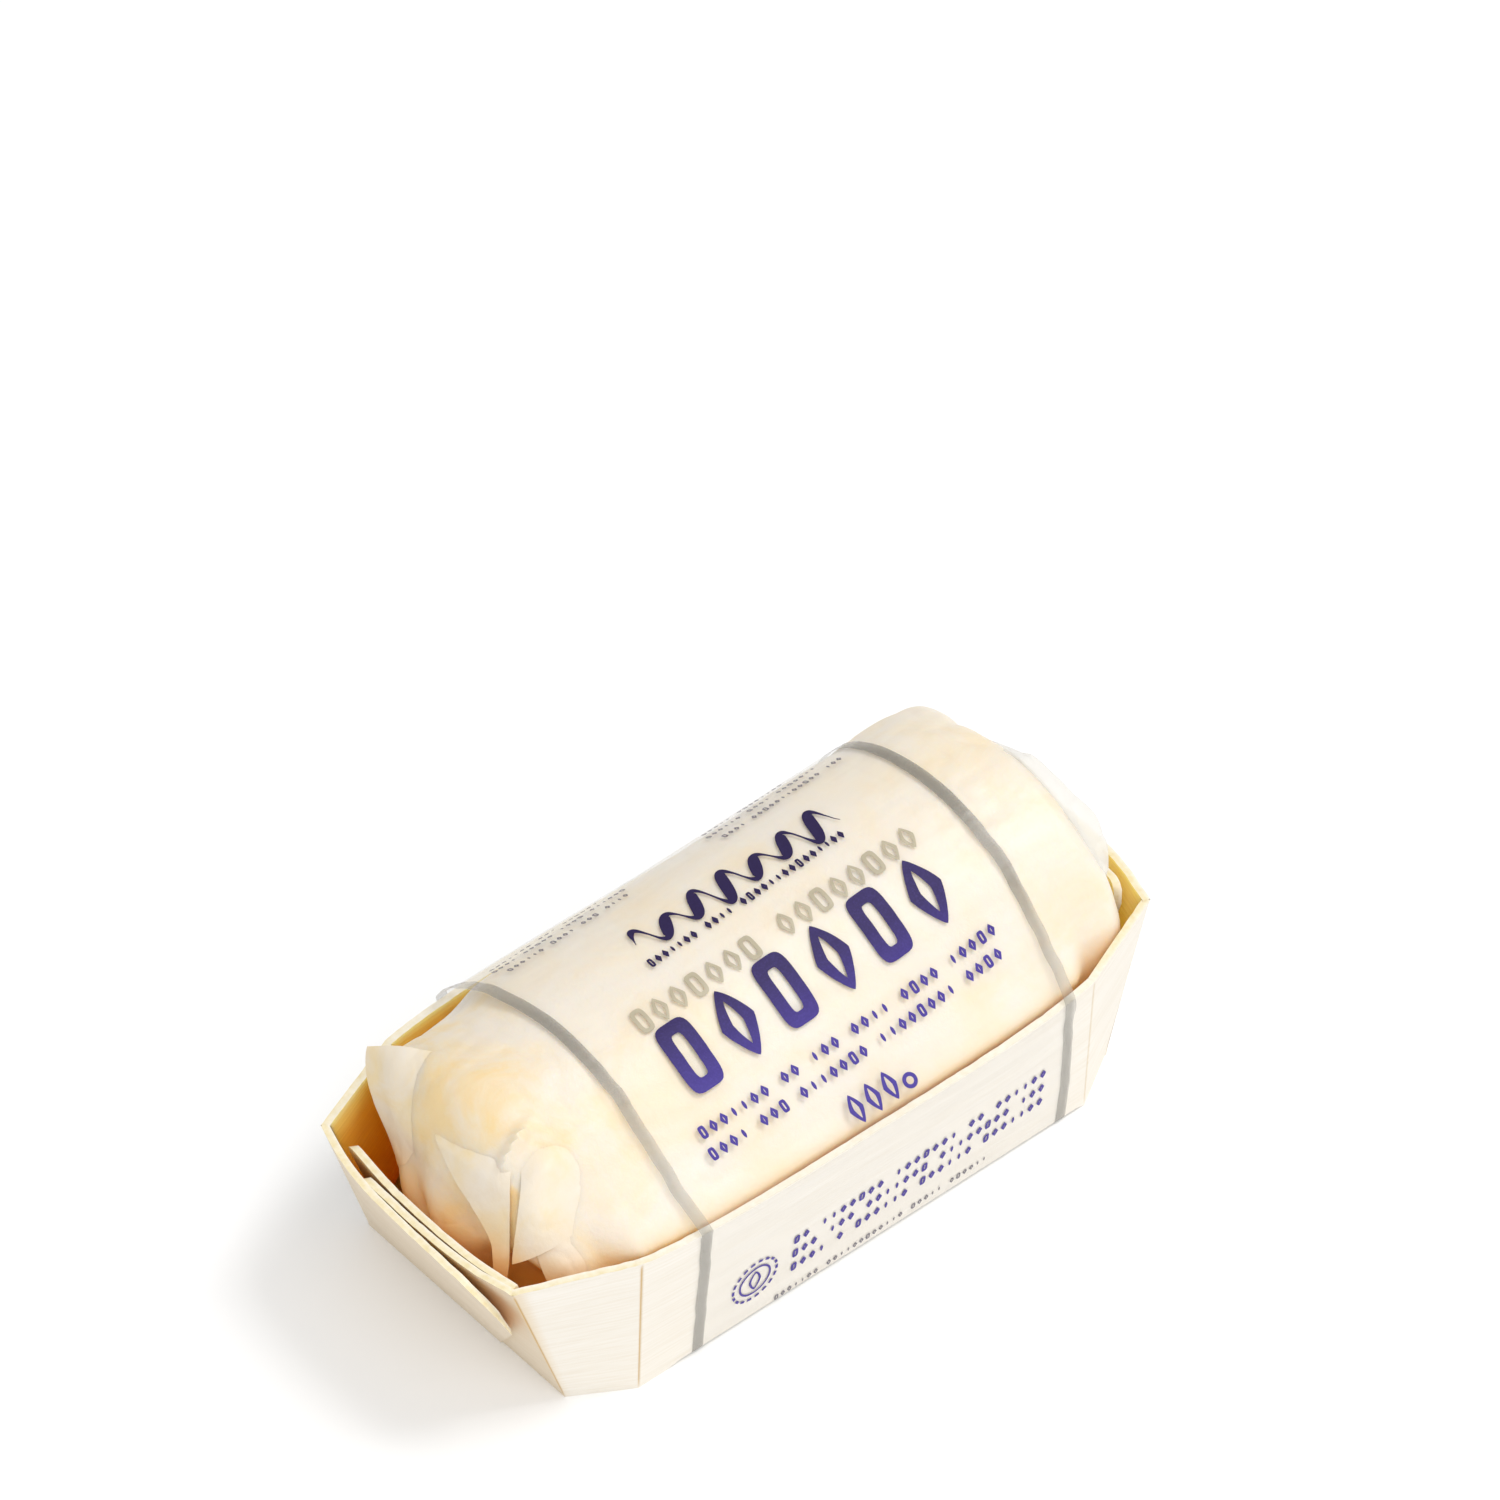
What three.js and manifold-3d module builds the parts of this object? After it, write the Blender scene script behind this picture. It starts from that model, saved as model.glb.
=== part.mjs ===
// A roll of butter folded in parchment, lying in a folded wood veneer boat tray,
// both held by a sleeve of clear printed film that goes right round them.
// Millimetres. X runs along the roll, Z is up, and the origin is the middle of the base.
import * as THREE from 'three';
import { mergeVertices } from 'three/addons/utils/BufferGeometryUtils.js';
import Module from 'manifold-3d';

const wasm = await Module();
wasm.setup();

// Tray
const TRAY_HEIGHT = 26.4;
const VENEER = 1.15;
const FOLD_X = 42.07;
const RIM_HALF_WIDTH = 28.3;
const BASE_HALF_WIDTH = 27.15;
const WALL_BOW = 1.9;
const CORNER_TOP = new THREE.Vector2(59.3, 21.2);
const CORNER_BASE = new THREE.Vector2(51.0, 21.7);
// The base is arched by this much where the film passes under it.
const ARCH = 0.5;
const ARCH_STATIONS = [-37, -34.5, 40.6, FOLD_X];

// Roll
const ROLL_TILT = THREE.MathUtils.degToRad(21);
const ROLL_LEFT = { x: -30, y: 0.6, z: 20.9, wide: 26.1, tall: 18.6 };
const ROLL_RIGHT = { x: 38, y: 1.5, z: 22.6, wide: 26.3, tall: 20.1 };
const LEFT_SHOULDER = -44;
const LEFT_END = -54.5;
const RIGHT_SHOULDER = 50;
const RIGHT_END = 57.4;
const SHOULDER_POWER = 2.6;
const END_CENTRE = 0.12;
const END_CLEARANCE = 3.3;
const RIM_CLEARANCE = 2;
const PAPER_FOLD = 0.7;
// Corners of the folded paper at an end: the flap's as y and z, the ear's as distance out, y and z.
const FLAP_CORNERS = [[6, 37], [-12, 32], [-11.8, 17.5]];
const EAR_CORNERS = [[42, 18, 35.2], [51.5, 16, 27], [50.2, 22, 34.6]];
const EAR_DEPTH = 1.75;
const EAR_INWARD = new THREE.Vector3(0, -0.6, -0.8);

// Film
const FILM_LEFT = -31;
const FILM_RIGHT = 38.3;
const FILM_EDGE_BOW = 1.3;
const FILM_THICKNESS = 0.4;
const GAP = 0.3;
const BASE_GAP = 0.1;

// How finely the curved pieces are cut into flat faces.
const ROLL_SIDES = 56;
const ROLL_STEPS = 14;
const SHOULDER_STEPS = 8;
const FILM_SIDES = 72;
const FILM_STEPS = 9;
const WALL_STEPS = 15;
const FLAP_STEPS = 14;
const PAPER_STEPS = 6;
// A sheet that runs to a point stops at this share of the way, so that no face is a sliver.
const POINT_SHARE = 0.95;

const lerp = THREE.MathUtils.lerp;
const clamp = THREE.MathUtils.clamp;
const range = (count) => Array.from({ length: count }, (_, i) => i);

// A closed body between two facing sheets, each a function of u and v from 0 to 1.
// With ring set, u goes round and its last column meets the first.
function bodyBetween(outer, inner, columns, rows, ring = false) {
  const around = ring ? columns : columns + 1;
  const points = [];
  for (const sheet of [outer, inner]) {
    for (const j of range(rows + 1)) {
      for (const i of range(around)) points.push(...sheet(i / columns, j / rows));
    }
  }
  const at = (side, i, j) => side * around * (rows + 1) + j * around + (i % around);
  const faces = [];
  const quad = (a, b, c, d) => faces.push(a, b, c, a, c, d);
  for (const j of range(rows)) {
    for (const i of range(columns)) {
      quad(at(0, i, j), at(0, i + 1, j), at(0, i + 1, j + 1), at(0, i, j + 1));
      quad(at(1, i, j), at(1, i, j + 1), at(1, i + 1, j + 1), at(1, i + 1, j));
    }
  }
  for (const i of range(columns)) {
    quad(at(0, i, 0), at(1, i, 0), at(1, i + 1, 0), at(0, i + 1, 0));
    quad(at(0, i, rows), at(0, i + 1, rows), at(1, i + 1, rows), at(1, i, rows));
  }
  if (!ring) {
    for (const j of range(rows)) {
      quad(at(0, 0, j), at(0, 0, j + 1), at(1, 0, j + 1), at(1, 0, j));
      quad(at(0, columns, j), at(1, columns, j), at(1, columns, j + 1), at(0, columns, j + 1));
    }
  }
  return outward(points, faces);
}

// A closed body through a row of loops, with a fan of triangles over each end.
function bodyThrough(loops) {
  const count = loops[0].length;
  const points = loops.flat().flat();
  const faces = [];
  for (const j of range(loops.length - 1)) {
    for (const i of range(count)) {
      const a = j * count + i;
      const b = j * count + (i + 1) % count;
      faces.push(a, b, b + count, a, b + count, a + count);
    }
  }
  for (const last of [false, true]) {
    const start = last ? (loops.length - 1) * count : 0;
    const loop = last ? loops.at(-1) : loops[0];
    const middle = points.length / 3;
    points.push(...[0, 1, 2].map((k) => loop.reduce((sum, p) => sum + p[k], 0) / count));
    for (const i of range(count)) {
      const a = start + i;
      const b = start + (i + 1) % count;
      if (last) faces.push(a, b, middle);
      else faces.push(b, a, middle);
    }
  }
  return outward(points, faces);
}

// Six times the volume that a closed set of faces holds, below zero if they point in.
function signedVolume(points, faces) {
  const corner = (i) => new THREE.Vector3().fromArray(points, 3 * faces[i]);
  let sum = 0;
  for (let i = 0; i < faces.length; i += 3) {
    sum += corner(i).dot(corner(i + 1).cross(corner(i + 2)));
  }
  return sum;
}

function outward(points, faces) {
  if (signedVolume(points, faces) < 0) {
    for (let i = 0; i < faces.length; i += 3) {
      [faces[i + 1], faces[i + 2]] = [faces[i + 2], faces[i + 1]];
    }
  }
  const geometry = new THREE.BufferGeometry();
  geometry.setAttribute('position', new THREE.Float32BufferAttribute(points, 3));
  geometry.setIndex(faces);
  return geometry;
}

function solidOf(geometry) {
  const bare = geometry.clone();
  bare.deleteAttribute('normal');
  bare.deleteAttribute('uv');
  const merged = mergeVertices(bare, 1e-4);
  return new wasm.Manifold(new wasm.Mesh({
    numProp: 3,
    vertProperties: new Float32Array(merged.attributes.position.array),
    triVerts: new Uint32Array(merged.index.array),
  }));
}

function fuse(geometries) {
  const joined = geometries.map(solidOf).reduce((sum, solid) => sum.add(solid));
  const mesh = joined.getMesh();
  const geometry = new THREE.BufferGeometry();
  geometry.setAttribute('position', new THREE.BufferAttribute(mesh.vertProperties, 3));
  geometry.setIndex(new THREE.BufferAttribute(mesh.triVerts, 1));
  geometry.computeVertexNormals();
  return geometry;
}

// Height of the tray's underside at x: flat on the table at the ends, arched over the film.
function underside(x) {
  const [a, b, c, d] = ARCH_STATIONS;
  return ARCH * clamp(Math.min((x - a) / (b - a), (d - x) / (d - c)), 0, 1);
}

// Outer half width of a long wall at x and height z. The rim bows out between the folds.
function wallHalfWidth(x, z) {
  const up = z / TRAY_HEIGHT;
  const bow = WALL_BOW * (1 - Math.min(1, Math.abs(x / FOLD_X)) ** 4);
  return lerp(BASE_HALF_WIDTH, RIM_HALF_WIDTH + bow, up);
}

// Outer half width of the whole tray at x and height z, with its slanted corner panels.
function trayHalfWidth(x, z) {
  const up = z / TRAY_HEIGHT;
  const endX = lerp(CORNER_BASE.x, CORNER_TOP.x, up);
  const endY = lerp(CORNER_BASE.y, CORNER_TOP.y, up);
  const along = clamp((Math.abs(x) - FOLD_X) / (endX - FOLD_X), 0, 1);
  return lerp(wallHalfWidth(x, z), endY, along);
}

// Places along X where a long wall or the base is given a row of points.
function trayStations(ends) {
  const [a, b, c, d] = ARCH_STATIONS;
  const middle = range(WALL_STEPS + 1).map((i) => lerp(b, c, i / WALL_STEPS));
  return [-ends, ...(ends > FOLD_X ? [-FOLD_X] : []), a, ...middle, d, ...(ends > d ? [ends] : [])];
}

function longWall(side) {
  const stations = trayStations(FOLD_X);
  const sheet = (inset) => (u, v) => {
    const x = stations[Math.round(u * (stations.length - 1))];
    const z = lerp(underside(x), TRAY_HEIGHT, v);
    return [x, side * (wallHalfWidth(x, z) - inset), z];
  };
  return bodyBetween(sheet(0), sheet(VENEER), stations.length - 1, 2);
}

function basePlate() {
  const stations = trayStations(CORNER_BASE.x);
  const sheet = (lift) => (u, v) => {
    const x = stations[Math.round(u * (stations.length - 1))];
    const z = underside(x) + lift;
    return [x, lerp(-1, 1, v) * (trayHalfWidth(x, 0) - VENEER / 2), z];
  };
  return bodyBetween(sheet(0), sheet(VENEER), stations.length - 1, 1);
}

// Slanted panel between a long wall and the tray's end, on the side of y given.
function cornerPanel(end, side) {
  const slant = new THREE.Vector2(CORNER_TOP.x - FOLD_X, CORNER_TOP.y - RIM_HALF_WIDTH).normalize();
  const sheet = (inset) => (u, v) => {
    const edgeX = lerp(CORNER_BASE.x, CORNER_TOP.x, v);
    const x = lerp(FOLD_X, edgeX, u);
    const y = lerp(lerp(BASE_HALF_WIDTH, RIM_HALF_WIDTH, v), lerp(CORNER_BASE.y, CORNER_TOP.y, v), u);
    return [end * (x + inset * slant.y), side * (y - inset * slant.x), v * TRAY_HEIGHT];
  };
  return bodyBetween(sheet(0), sheet(VENEER), 1, 1);
}

// One flap of an end wall. Its rim follows a curve seen from above, its foot a straight line,
// and its free corner falls away in a quarter ellipse of the width and drop given.
function endFlap({ rim, footX, footY, round, drop }) {
  const curve = new THREE.SplineCurve(rim.map(([x, y]) => new THREE.Vector2(x, y)));
  const sheet = (inset) => (u, v) => {
    const top = curve.getPointAt(u);
    const past = clamp((u - 1 + round) / round, 0, 1);
    const topZ = TRAY_HEIGHT - drop * (1 - Math.sqrt(1 - past * past));
    const lean = lerp(footX, top.x, topZ / TRAY_HEIGHT);
    const y = lerp(lerp(footY[0], footY[1], u), top.y, v);
    return [lerp(footX, lean, v) - inset, y, v * topZ];
  };
  return bodyBetween(sheet(0), sheet(VENEER), FLAP_STEPS, 2);
}

// The three flaps of one end, from the inmost to the outmost, for the end at positive x.
const END_FLAPS = [
  {
    rim: [[58.6, 20.2], [59.8, 12], [60, 1.6], [59.7, -7], [58.5, -17]],
    footX: 50.6, footY: [21.2, -15], round: 0.08, drop: 3,
  },
  {
    rim: [[59.3, 21.2], [60.7, 15], [61.4, 8], [61.5, 0], [61.2, -11]],
    footX: 51, footY: [21.7, -10], round: 0.1, drop: 3,
  },
  {
    rim: [[59.3, -21.2], [61.3, -14.5], [62.4, -8], [62.9, 0], [63.1, 10], [63.2, 21.4]],
    footX: 51.3, footY: [-21.7, 8], round: 0.3, drop: 7.5,
  },
];

function woodTray() {
  const end = END_FLAPS.map(endFlap);
  const halfTurn = new THREE.Matrix4().makeRotationZ(Math.PI);
  const panels = [1, -1].flatMap((x) => [1, -1].map((y) => cornerPanel(x, y)));
  return fuse([
    basePlate(),
    longWall(1),
    longWall(-1),
    ...panels,
    ...end,
    ...end.map((geometry) => geometry.clone().applyMatrix4(halfTurn)),
  ]);
}

// How much of its full section the roll has at x: all of it between the shoulders.
function shoulder(x) {
  const left = clamp((LEFT_SHOULDER - x) / (LEFT_SHOULDER - LEFT_END), 0, 1);
  const right = clamp((x - RIGHT_SHOULDER) / (RIGHT_END - RIGHT_SHOULDER), 0, 1);
  return (1 - Math.max(left, right) ** SHOULDER_POWER) ** (1 / SHOULDER_POWER);
}

function rollSection(x) {
  const along = (x - ROLL_LEFT.x) / (ROLL_RIGHT.x - ROLL_LEFT.x);
  const mix = (key) => lerp(ROLL_LEFT[key], ROLL_RIGHT[key], along);
  return { y: mix('y'), z: mix('z'), wide: mix('wide'), tall: mix('tall') };
}

// How far out along X the roll may reach at height z before it meets the tray's end.
function endRoom(z) {
  return lerp(CORNER_BASE.x, CORNER_TOP.x, clamp(z / TRAY_HEIGHT, 0, 1)) - END_CLEARANCE;
}

// A point of the roll's surface: a tilted ellipse, pressed flat on the tray's base and walls.
function rollPoint(x, angle, size) {
  const s = rollSection(x);
  const a = s.wide * size * Math.cos(angle);
  const b = s.tall * size * Math.sin(angle);
  const z = Math.max(s.z + a * Math.sin(ROLL_TILT) + b * Math.cos(ROLL_TILT), ARCH + VENEER + GAP);
  const room = trayHalfWidth(x, Math.min(z, TRAY_HEIGHT)) - VENEER - 2 * GAP;
  const y = s.y + a * Math.cos(ROLL_TILT) - b * Math.sin(ROLL_TILT);
  const reach = endRoom(z);
  return [clamp(x, -reach, reach), z > TRAY_HEIGHT + RIM_CLEARANCE ? y : clamp(y, -room, room), z];
}

function rollStations() {
  const ends = range(SHOULDER_STEPS).map((i) => Math.sin((i / SHOULDER_STEPS) * Math.PI / 2));
  const middle = range(ROLL_STEPS + 1).map((i) => lerp(LEFT_SHOULDER, RIGHT_SHOULDER, i / ROLL_STEPS));
  const left = ends.slice(1).map((t) => lerp(LEFT_SHOULDER, LEFT_END, t)).reverse();
  const right = ends.slice(1).map((t) => lerp(RIGHT_SHOULDER, RIGHT_END, t));
  return [LEFT_END, ...left, ...middle, ...right, RIGHT_END];
}

function rollLoop(x) {
  const size = Math.max(shoulder(x), END_CENTRE);
  return range(ROLL_SIDES).map((i) => rollPoint(x, (i / ROLL_SIDES) * 2 * Math.PI, size));
}

// The point of an end of the roll that lies at y and z, seen along X, raised by lift.
function endPoint(end, y, z, lift) {
  const shoulderX = end < 0 ? LEFT_SHOULDER : RIGHT_SHOULDER;
  const endX = end < 0 ? LEFT_END : RIGHT_END;
  const s = rollSection(shoulderX);
  const dy = y - s.y;
  const dz = z - s.z;
  const a = (dy * Math.cos(ROLL_TILT) + dz * Math.sin(ROLL_TILT)) / s.wide;
  const b = (dz * Math.cos(ROLL_TILT) - dy * Math.sin(ROLL_TILT)) / s.tall;
  const out = (1 - Math.min(1, Math.hypot(a, b)) ** SHOULDER_POWER) ** (1 / SHOULDER_POWER);
  const reach = Math.min(Math.abs(lerp(shoulderX, endX, out)), endRoom(z));
  return [end * (reach + lift), y, z];
}

// The parchment's last flap, a triangle folded down over an end of the roll.
function paperFlap(end) {
  const [far, near, tip] = FLAP_CORNERS.map(([y, z]) => new THREE.Vector2(y, z));
  const sheet = (lift) => (u, v) => {
    const at = far.clone().lerp(near, u).lerp(tip, POINT_SHARE * v);
    return endPoint(end, at.x, at.y, lift);
  };
  return bodyBetween(sheet(PAPER_FOLD), sheet(-PAPER_FOLD), PAPER_STEPS, PAPER_STEPS);
}

// The loose corner of the folded parchment that stands off the roll's shoulder.
function paperEar(end) {
  const [top, foot, tip] = EAR_CORNERS.map(([x, y, z]) => new THREE.Vector3(end * x, y, z));
  const sheet = (depth) => (u, v) => {
    const at = top.clone().lerp(foot, u).lerp(tip, POINT_SHARE * v);
    return at.addScaledVector(EAR_INWARD, depth).toArray();
  };
  return bodyBetween(sheet(0), sheet(EAR_DEPTH), PAPER_STEPS, PAPER_STEPS);
}

function wrappedRoll() {
  const body = bodyThrough(rollStations().map(rollLoop));
  return fuse([body, ...[-1, 1].flatMap((end) => [paperFlap(end), paperEar(end)])]);
}

// The film's section at x is the tightest loop round the roll and the tray there.
// Each point lies on the corner furthest out in one direction, moved out by the distance given.
function filmPoint(x, angle, distance) {
  const direction = new THREE.Vector2(Math.cos(angle), Math.sin(angle));
  const rim = wallHalfWidth(x, TRAY_HEIGHT);
  const foot = ARCH + GAP - BASE_GAP;
  const held = [
    [-rim, TRAY_HEIGHT], [rim, TRAY_HEIGHT], [-BASE_HALF_WIDTH, foot], [BASE_HALF_WIDTH, foot],
    ...rollLoop(x).map(([, y, z]) => [y, z]),
  ];
  let best = null;
  for (const [y, z] of held) {
    const reach = y * direction.x + z * direction.y;
    if (!best || reach > best.reach) best = { reach, y, z };
  }
  return [best.y + direction.x * distance, best.z + direction.y * distance];
}

function filmSleeve() {
  const sheet = (distance) => (u, v) => {
    const angle = 2 * Math.PI * u;
    const left = FILM_LEFT - FILM_EDGE_BOW * Math.max(0, Math.sin(angle));
    const x = lerp(left, FILM_RIGHT, v);
    return [x, ...filmPoint(x, angle, distance)];
  };
  return bodyBetween(sheet(GAP + FILM_THICKNESS), sheet(GAP), FILM_SIDES, FILM_STEPS, true);
}

function piece(name, geometry, colour, roughness, extra = {}) {
  const material = new THREE.MeshStandardMaterial({ color: colour, roughness, metalness: 0, ...extra });
  const mesh = new THREE.Mesh(geometry, material);
  mesh.name = name;
  return mesh;
}

const group = new THREE.Group();
group.add(
  piece('wood_tray', woodTray(), '#F6E8CB', 0.7),
  piece('wrapped_roll', wrappedRoll(), '#F7EBCB', 0.55),
  piece('film_sleeve', filmSleeve(), '#EFEAE0', 0.12, { transparent: true, opacity: 0.25 }),
);

export default group;
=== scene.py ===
"""A roll of butter folded in parchment, in a folded veneer boat tray under a sleeve of clear printed film.

Shapes are worked out in millimetres as numpy grids and put into meshes in metres.
X runs along the roll, Z is up, and the origin is the middle of the base, as in the frame.
"""

import bpy
import numpy as np
from mathutils import Matrix


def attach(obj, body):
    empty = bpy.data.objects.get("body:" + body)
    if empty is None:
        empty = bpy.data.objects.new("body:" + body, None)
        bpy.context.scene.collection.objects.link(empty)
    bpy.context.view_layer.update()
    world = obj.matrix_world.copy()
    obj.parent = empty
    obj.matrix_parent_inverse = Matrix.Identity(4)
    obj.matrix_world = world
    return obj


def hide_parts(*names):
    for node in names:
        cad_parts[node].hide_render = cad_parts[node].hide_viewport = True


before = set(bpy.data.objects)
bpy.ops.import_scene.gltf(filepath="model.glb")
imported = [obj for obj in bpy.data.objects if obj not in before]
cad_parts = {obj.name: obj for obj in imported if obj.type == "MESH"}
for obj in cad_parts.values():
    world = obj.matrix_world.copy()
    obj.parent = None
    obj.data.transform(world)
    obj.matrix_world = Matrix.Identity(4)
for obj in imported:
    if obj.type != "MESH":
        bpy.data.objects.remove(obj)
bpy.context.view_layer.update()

MM = 0.001
CREASE_ANGLE = np.radians(40)
HALF_TURN = np.array([-1, -1, 1])

# Tray
TRAY_HEIGHT = 26.4
VENEER = 1.15
FOLD_X = 42.07
RIM_HALF_WIDTH = 28.3
BASE_HALF_WIDTH = 27.15
WALL_BOW = 1.9
CORNER_TOP = (59.3, 21.2)
CORNER_BASE = (51.0, 21.7)
ARCH = 0.5
ARCH_STATIONS = (-37, -34.5, 40.6, FOLD_X)
SCORE_DEPTH = 0.14
SCORE_HALF_WIDTH = 0.2
RIM_ROUGHNESS = 0.12
CORNER_PANEL_LENGTH = 18
# The flaps of the end at positive x, from the inmost to the outmost. The other end is a half turn of it.
INMOST_FLAP = {
    "rim": [(58.6, 20.2), (59.8, 12), (60, 1.6), (59.7, -7), (58.5, -17)],
    "foot_x": 50.6, "foot_y": (21.2, -15), "round": 0.08, "drop": 3, "length": 38,
}
MIDDLE_FLAP = {
    "rim": [(59.3, 21.2), (60.7, 15), (61.4, 8), (61.5, 0), (61.2, -11)],
    "foot_x": 51, "foot_y": (21.7, -10), "round": 0.1, "drop": 3, "length": 33,
}
OUTMOST_FLAP = {
    "rim": [(59.3, -21.2), (61.3, -14.5), (62.4, -8), (62.9, 0), (63.1, 10), (63.2, 21.4)],
    "foot_x": 51.3, "foot_y": (-21.7, 8), "round": 0.3, "drop": 7.5, "length": 45,
}

# Roll
ROLL_TILT = np.radians(21)
ROLL_LEFT = {"x": -30, "y": 0.6, "z": 20.9, "wide": 26.1, "tall": 18.6}
ROLL_RIGHT = {"x": 38, "y": 1.5, "z": 22.6, "wide": 26.3, "tall": 20.1}
LEFT_SHOULDER = -44
LEFT_END = -54.5
RIGHT_SHOULDER = 50
RIGHT_END = 57.4
SHOULDER_POWER = 2.6
END_CLEARANCE = 3.3
RIM_CLEARANCE = 2
MEAN_RADIUS = 22
PAPER = 0.22
LEAST_GAP = 0.08
RIM_TUCK = 0.3
WALL_GAP = 0.35
RIGHT_END_GAP = 1.3
POLE_GAP = 0.4
CAP_RUN = 32

# Folds of the paper on an end. Pairs are places on its chart, in millimetres over the surface from its pole.
CREST_PLACE = (-1.1, 24.0)
CREST_LEAN = 0.35
FAR_CORNER = (14, -12)
TUCKED_CORNER = (-14, 3)
CORNER_HOLLOW = 3.4
SHOULDER_HOLLOW = 1.7
CROWN_HOLLOW = 1.5
TUCK_HOLLOW = 4.5
FLAP_FREE_EDGE = np.array([(8.7, 14.0), (5.2, 13.9), (0.6, 12.8), (-3.6, 11.9), (-7.4, 9.6), (-10.6, 1.5)])
FLAP_FOLD_EDGE = np.array([(-0.9, 24), (-3.4, 21.2), (-6.7, 16.5), (-9.8, 10.3), (-11.6, 2.5)])
PANEL_FREE_EDGE = np.array([(-1.9, 24.0), (-5.2, 21.3), (-8.3, 16.2), (-10.7, 10.0)])
PANEL_SUNK_EDGE = np.array([(2, 39), (-8, 36), (-13.5, 31), (-17, 25)])
UNDER_FREE_EDGE = np.array([(-9.5, 17.5), (-12.6, 13.6), (-15.7, 10.1), (-19.5, 6)])
UNDER_SUNK_EDGE = np.array([(-15, 26), (-18, 25), (-22, 22), (-26, 17)])
EAR_FREE_EDGE = np.array([(24, 7), (17.5, 2.5), (12.5, 0), (9, -4), (6, -9)])
EAR_SUNK_EDGE = np.array([(18, 21), (13, 17), (9, 13), (6, 7), (3, 0)])
EAR_PUSH = np.array([4.0, 0.8, 2.2])
RIGHT_LEAF_SIZE = 0.78
PLEAT = ((-5.4, 18.8), (-10.4, 7.5))
PLEAT_SHADE = 0.75

# Margin of bare paper round the right end, its width by the angle in degrees
COLLAR_WIDTHS = np.array([
    (22, 0.3), (42, 0.3), (58, 1.5), (72, 2.5), (84, 3.6), (95, 4.6), (106, 5.2), (116, 4.8), (125, 3.0),
    (136, 0.8), (172, 0.3),
])
COLLAR_START = 3.0
COLLAR_SIZE = 0.975
COLLAR_TAPER = 0.05

# Film
FILM_LEFT = -31.6
FILM_RIGHT = 39
# Places of the film's edges: distance round the film from the near rim, then x.
FILM_LEFT_EDGE = np.array([
    (-30, -32.4), (-24, -32.5), (-6, -32.5), (0, -32.6), (6, -32.5), (14, -31.9), (24, -31.4),
    (36, -32.0), (47, -32.9), (55, -33.0), (63, -31.8), (72, -31.2), (90, -31.2), (150, -32.4),
])
FILM_RIGHT_EDGE = np.array([
    (-30, 37.9), (-16, 38.2), (-6, 37.6), (0, 37.4), (5, 38.6), (12, 39.6), (21, 40.4), (34, 40.2),
    (44, 39.8), (56, 39.4), (66, 38.6), (90, 38), (150, 37.9),
])
FILM_THICKNESS = 0.1
FILM_CLEARANCE = 0.42
FILM_ON_TRAY = 0.2
FILM_STATIONS = np.linspace(-37, 41, 79)
FILM_TURNS = 1440
FILM_SAMPLES = 700
FAR_SLOPE = 64
RIM_KINK = 0.5
SLOPE_KINK = 1.0
EDGE_LINE = 1.95
EDGE_LINE_LIFT = 0.04
EDGE_LINE_THICKNESS = 0.03
GAP = 0.3
BASE_GAP = 0.1

# Print
INK_LIFT = 0.015
INK = 0.02
PRINT_SLANT = 0.045
ROUND_MARK = (-21.6, -16.9)


def mix(a, b, share):
    return a + (b - a) * share


def ease(start, end, value):
    """Smooth step: 0 before start, 1 past end, and level at both."""
    t = np.clip((value - start) / (end - start), 0, 1)
    return t * t * (3 - 2 * t)


def soft_least(a, b, blend):
    """The lesser of a and b, with their crossing rounded over about the width of blend."""
    return (a + b - np.sqrt((a - b) ** 2 + blend**2)) / 2


def noise(points, size, seed=0):
    """Value noise from -1 to 1: random values on a lattice of the size given, eased between its corners."""
    scaled = np.asarray(points, float) / size
    cell = np.floor(scaled).astype(np.int64)
    part = scaled - cell
    part = part * part * (3 - 2 * part)
    total = np.zeros(scaled.shape[:-1])
    for corner in np.ndindex(2, 2, 2):
        key = (cell + corner) @ np.array([73856093, 19349663, 83492791]) + seed * 7919
        key = (key ^ (key >> 13)) * 1274126177 & 0x7FFFFFFF
        key = (key ^ (key >> 15)) * 668265263 & 0x7FFFFFFF
        value = (key >> 7) % 65536 / 32767.5 - 1
        total += value * np.prod(np.where(corner, part, 1 - part), axis=-1)
    return total


def crease_noise(points, size, seed=0):
    """Sharp creases between soft swells, from 0 in a crease to 1: the distance of noise from zero."""
    return np.sqrt(np.abs(noise(points, size, seed)))


def spline(corners, shares):
    """Catmull-Rom curve through the corners, at shares of its length."""
    p = np.array(corners, float)
    p = np.vstack([p[:1], p, p[-1:]])
    t = np.linspace(0, 1, 60)[:, None]
    runs = []
    for a, b, c, d in zip(p, p[1:], p[2:], p[3:]):
        runs.append(
            0.5 * (2 * b + (c - a) * t + (2 * a - 5 * b + 4 * c - d) * t**2 + (3 * b - a - 3 * c + d) * t**3)
        )
    curve = np.vstack(runs)
    length = np.concatenate([[0], np.cumsum(np.linalg.norm(np.diff(curve, axis=0), axis=1))])
    return np.stack([np.interp(shares * length[-1], length, curve[:, k]) for k in range(curve.shape[1])], -1)


def grid_faces(columns, rows, start=0, ring=False):
    """Quads of a grid of points stored row by row, with columns points in each row."""
    last = columns if ring else columns - 1
    i, j = np.meshgrid(np.arange(last), np.arange(rows - 1))
    i, j = i.ravel(), j.ravel()
    right = (i + 1) % columns
    below, above = j * columns, (j + 1) * columns
    return np.stack([below + i, below + right, above + right, above + i], 1) + start


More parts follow.
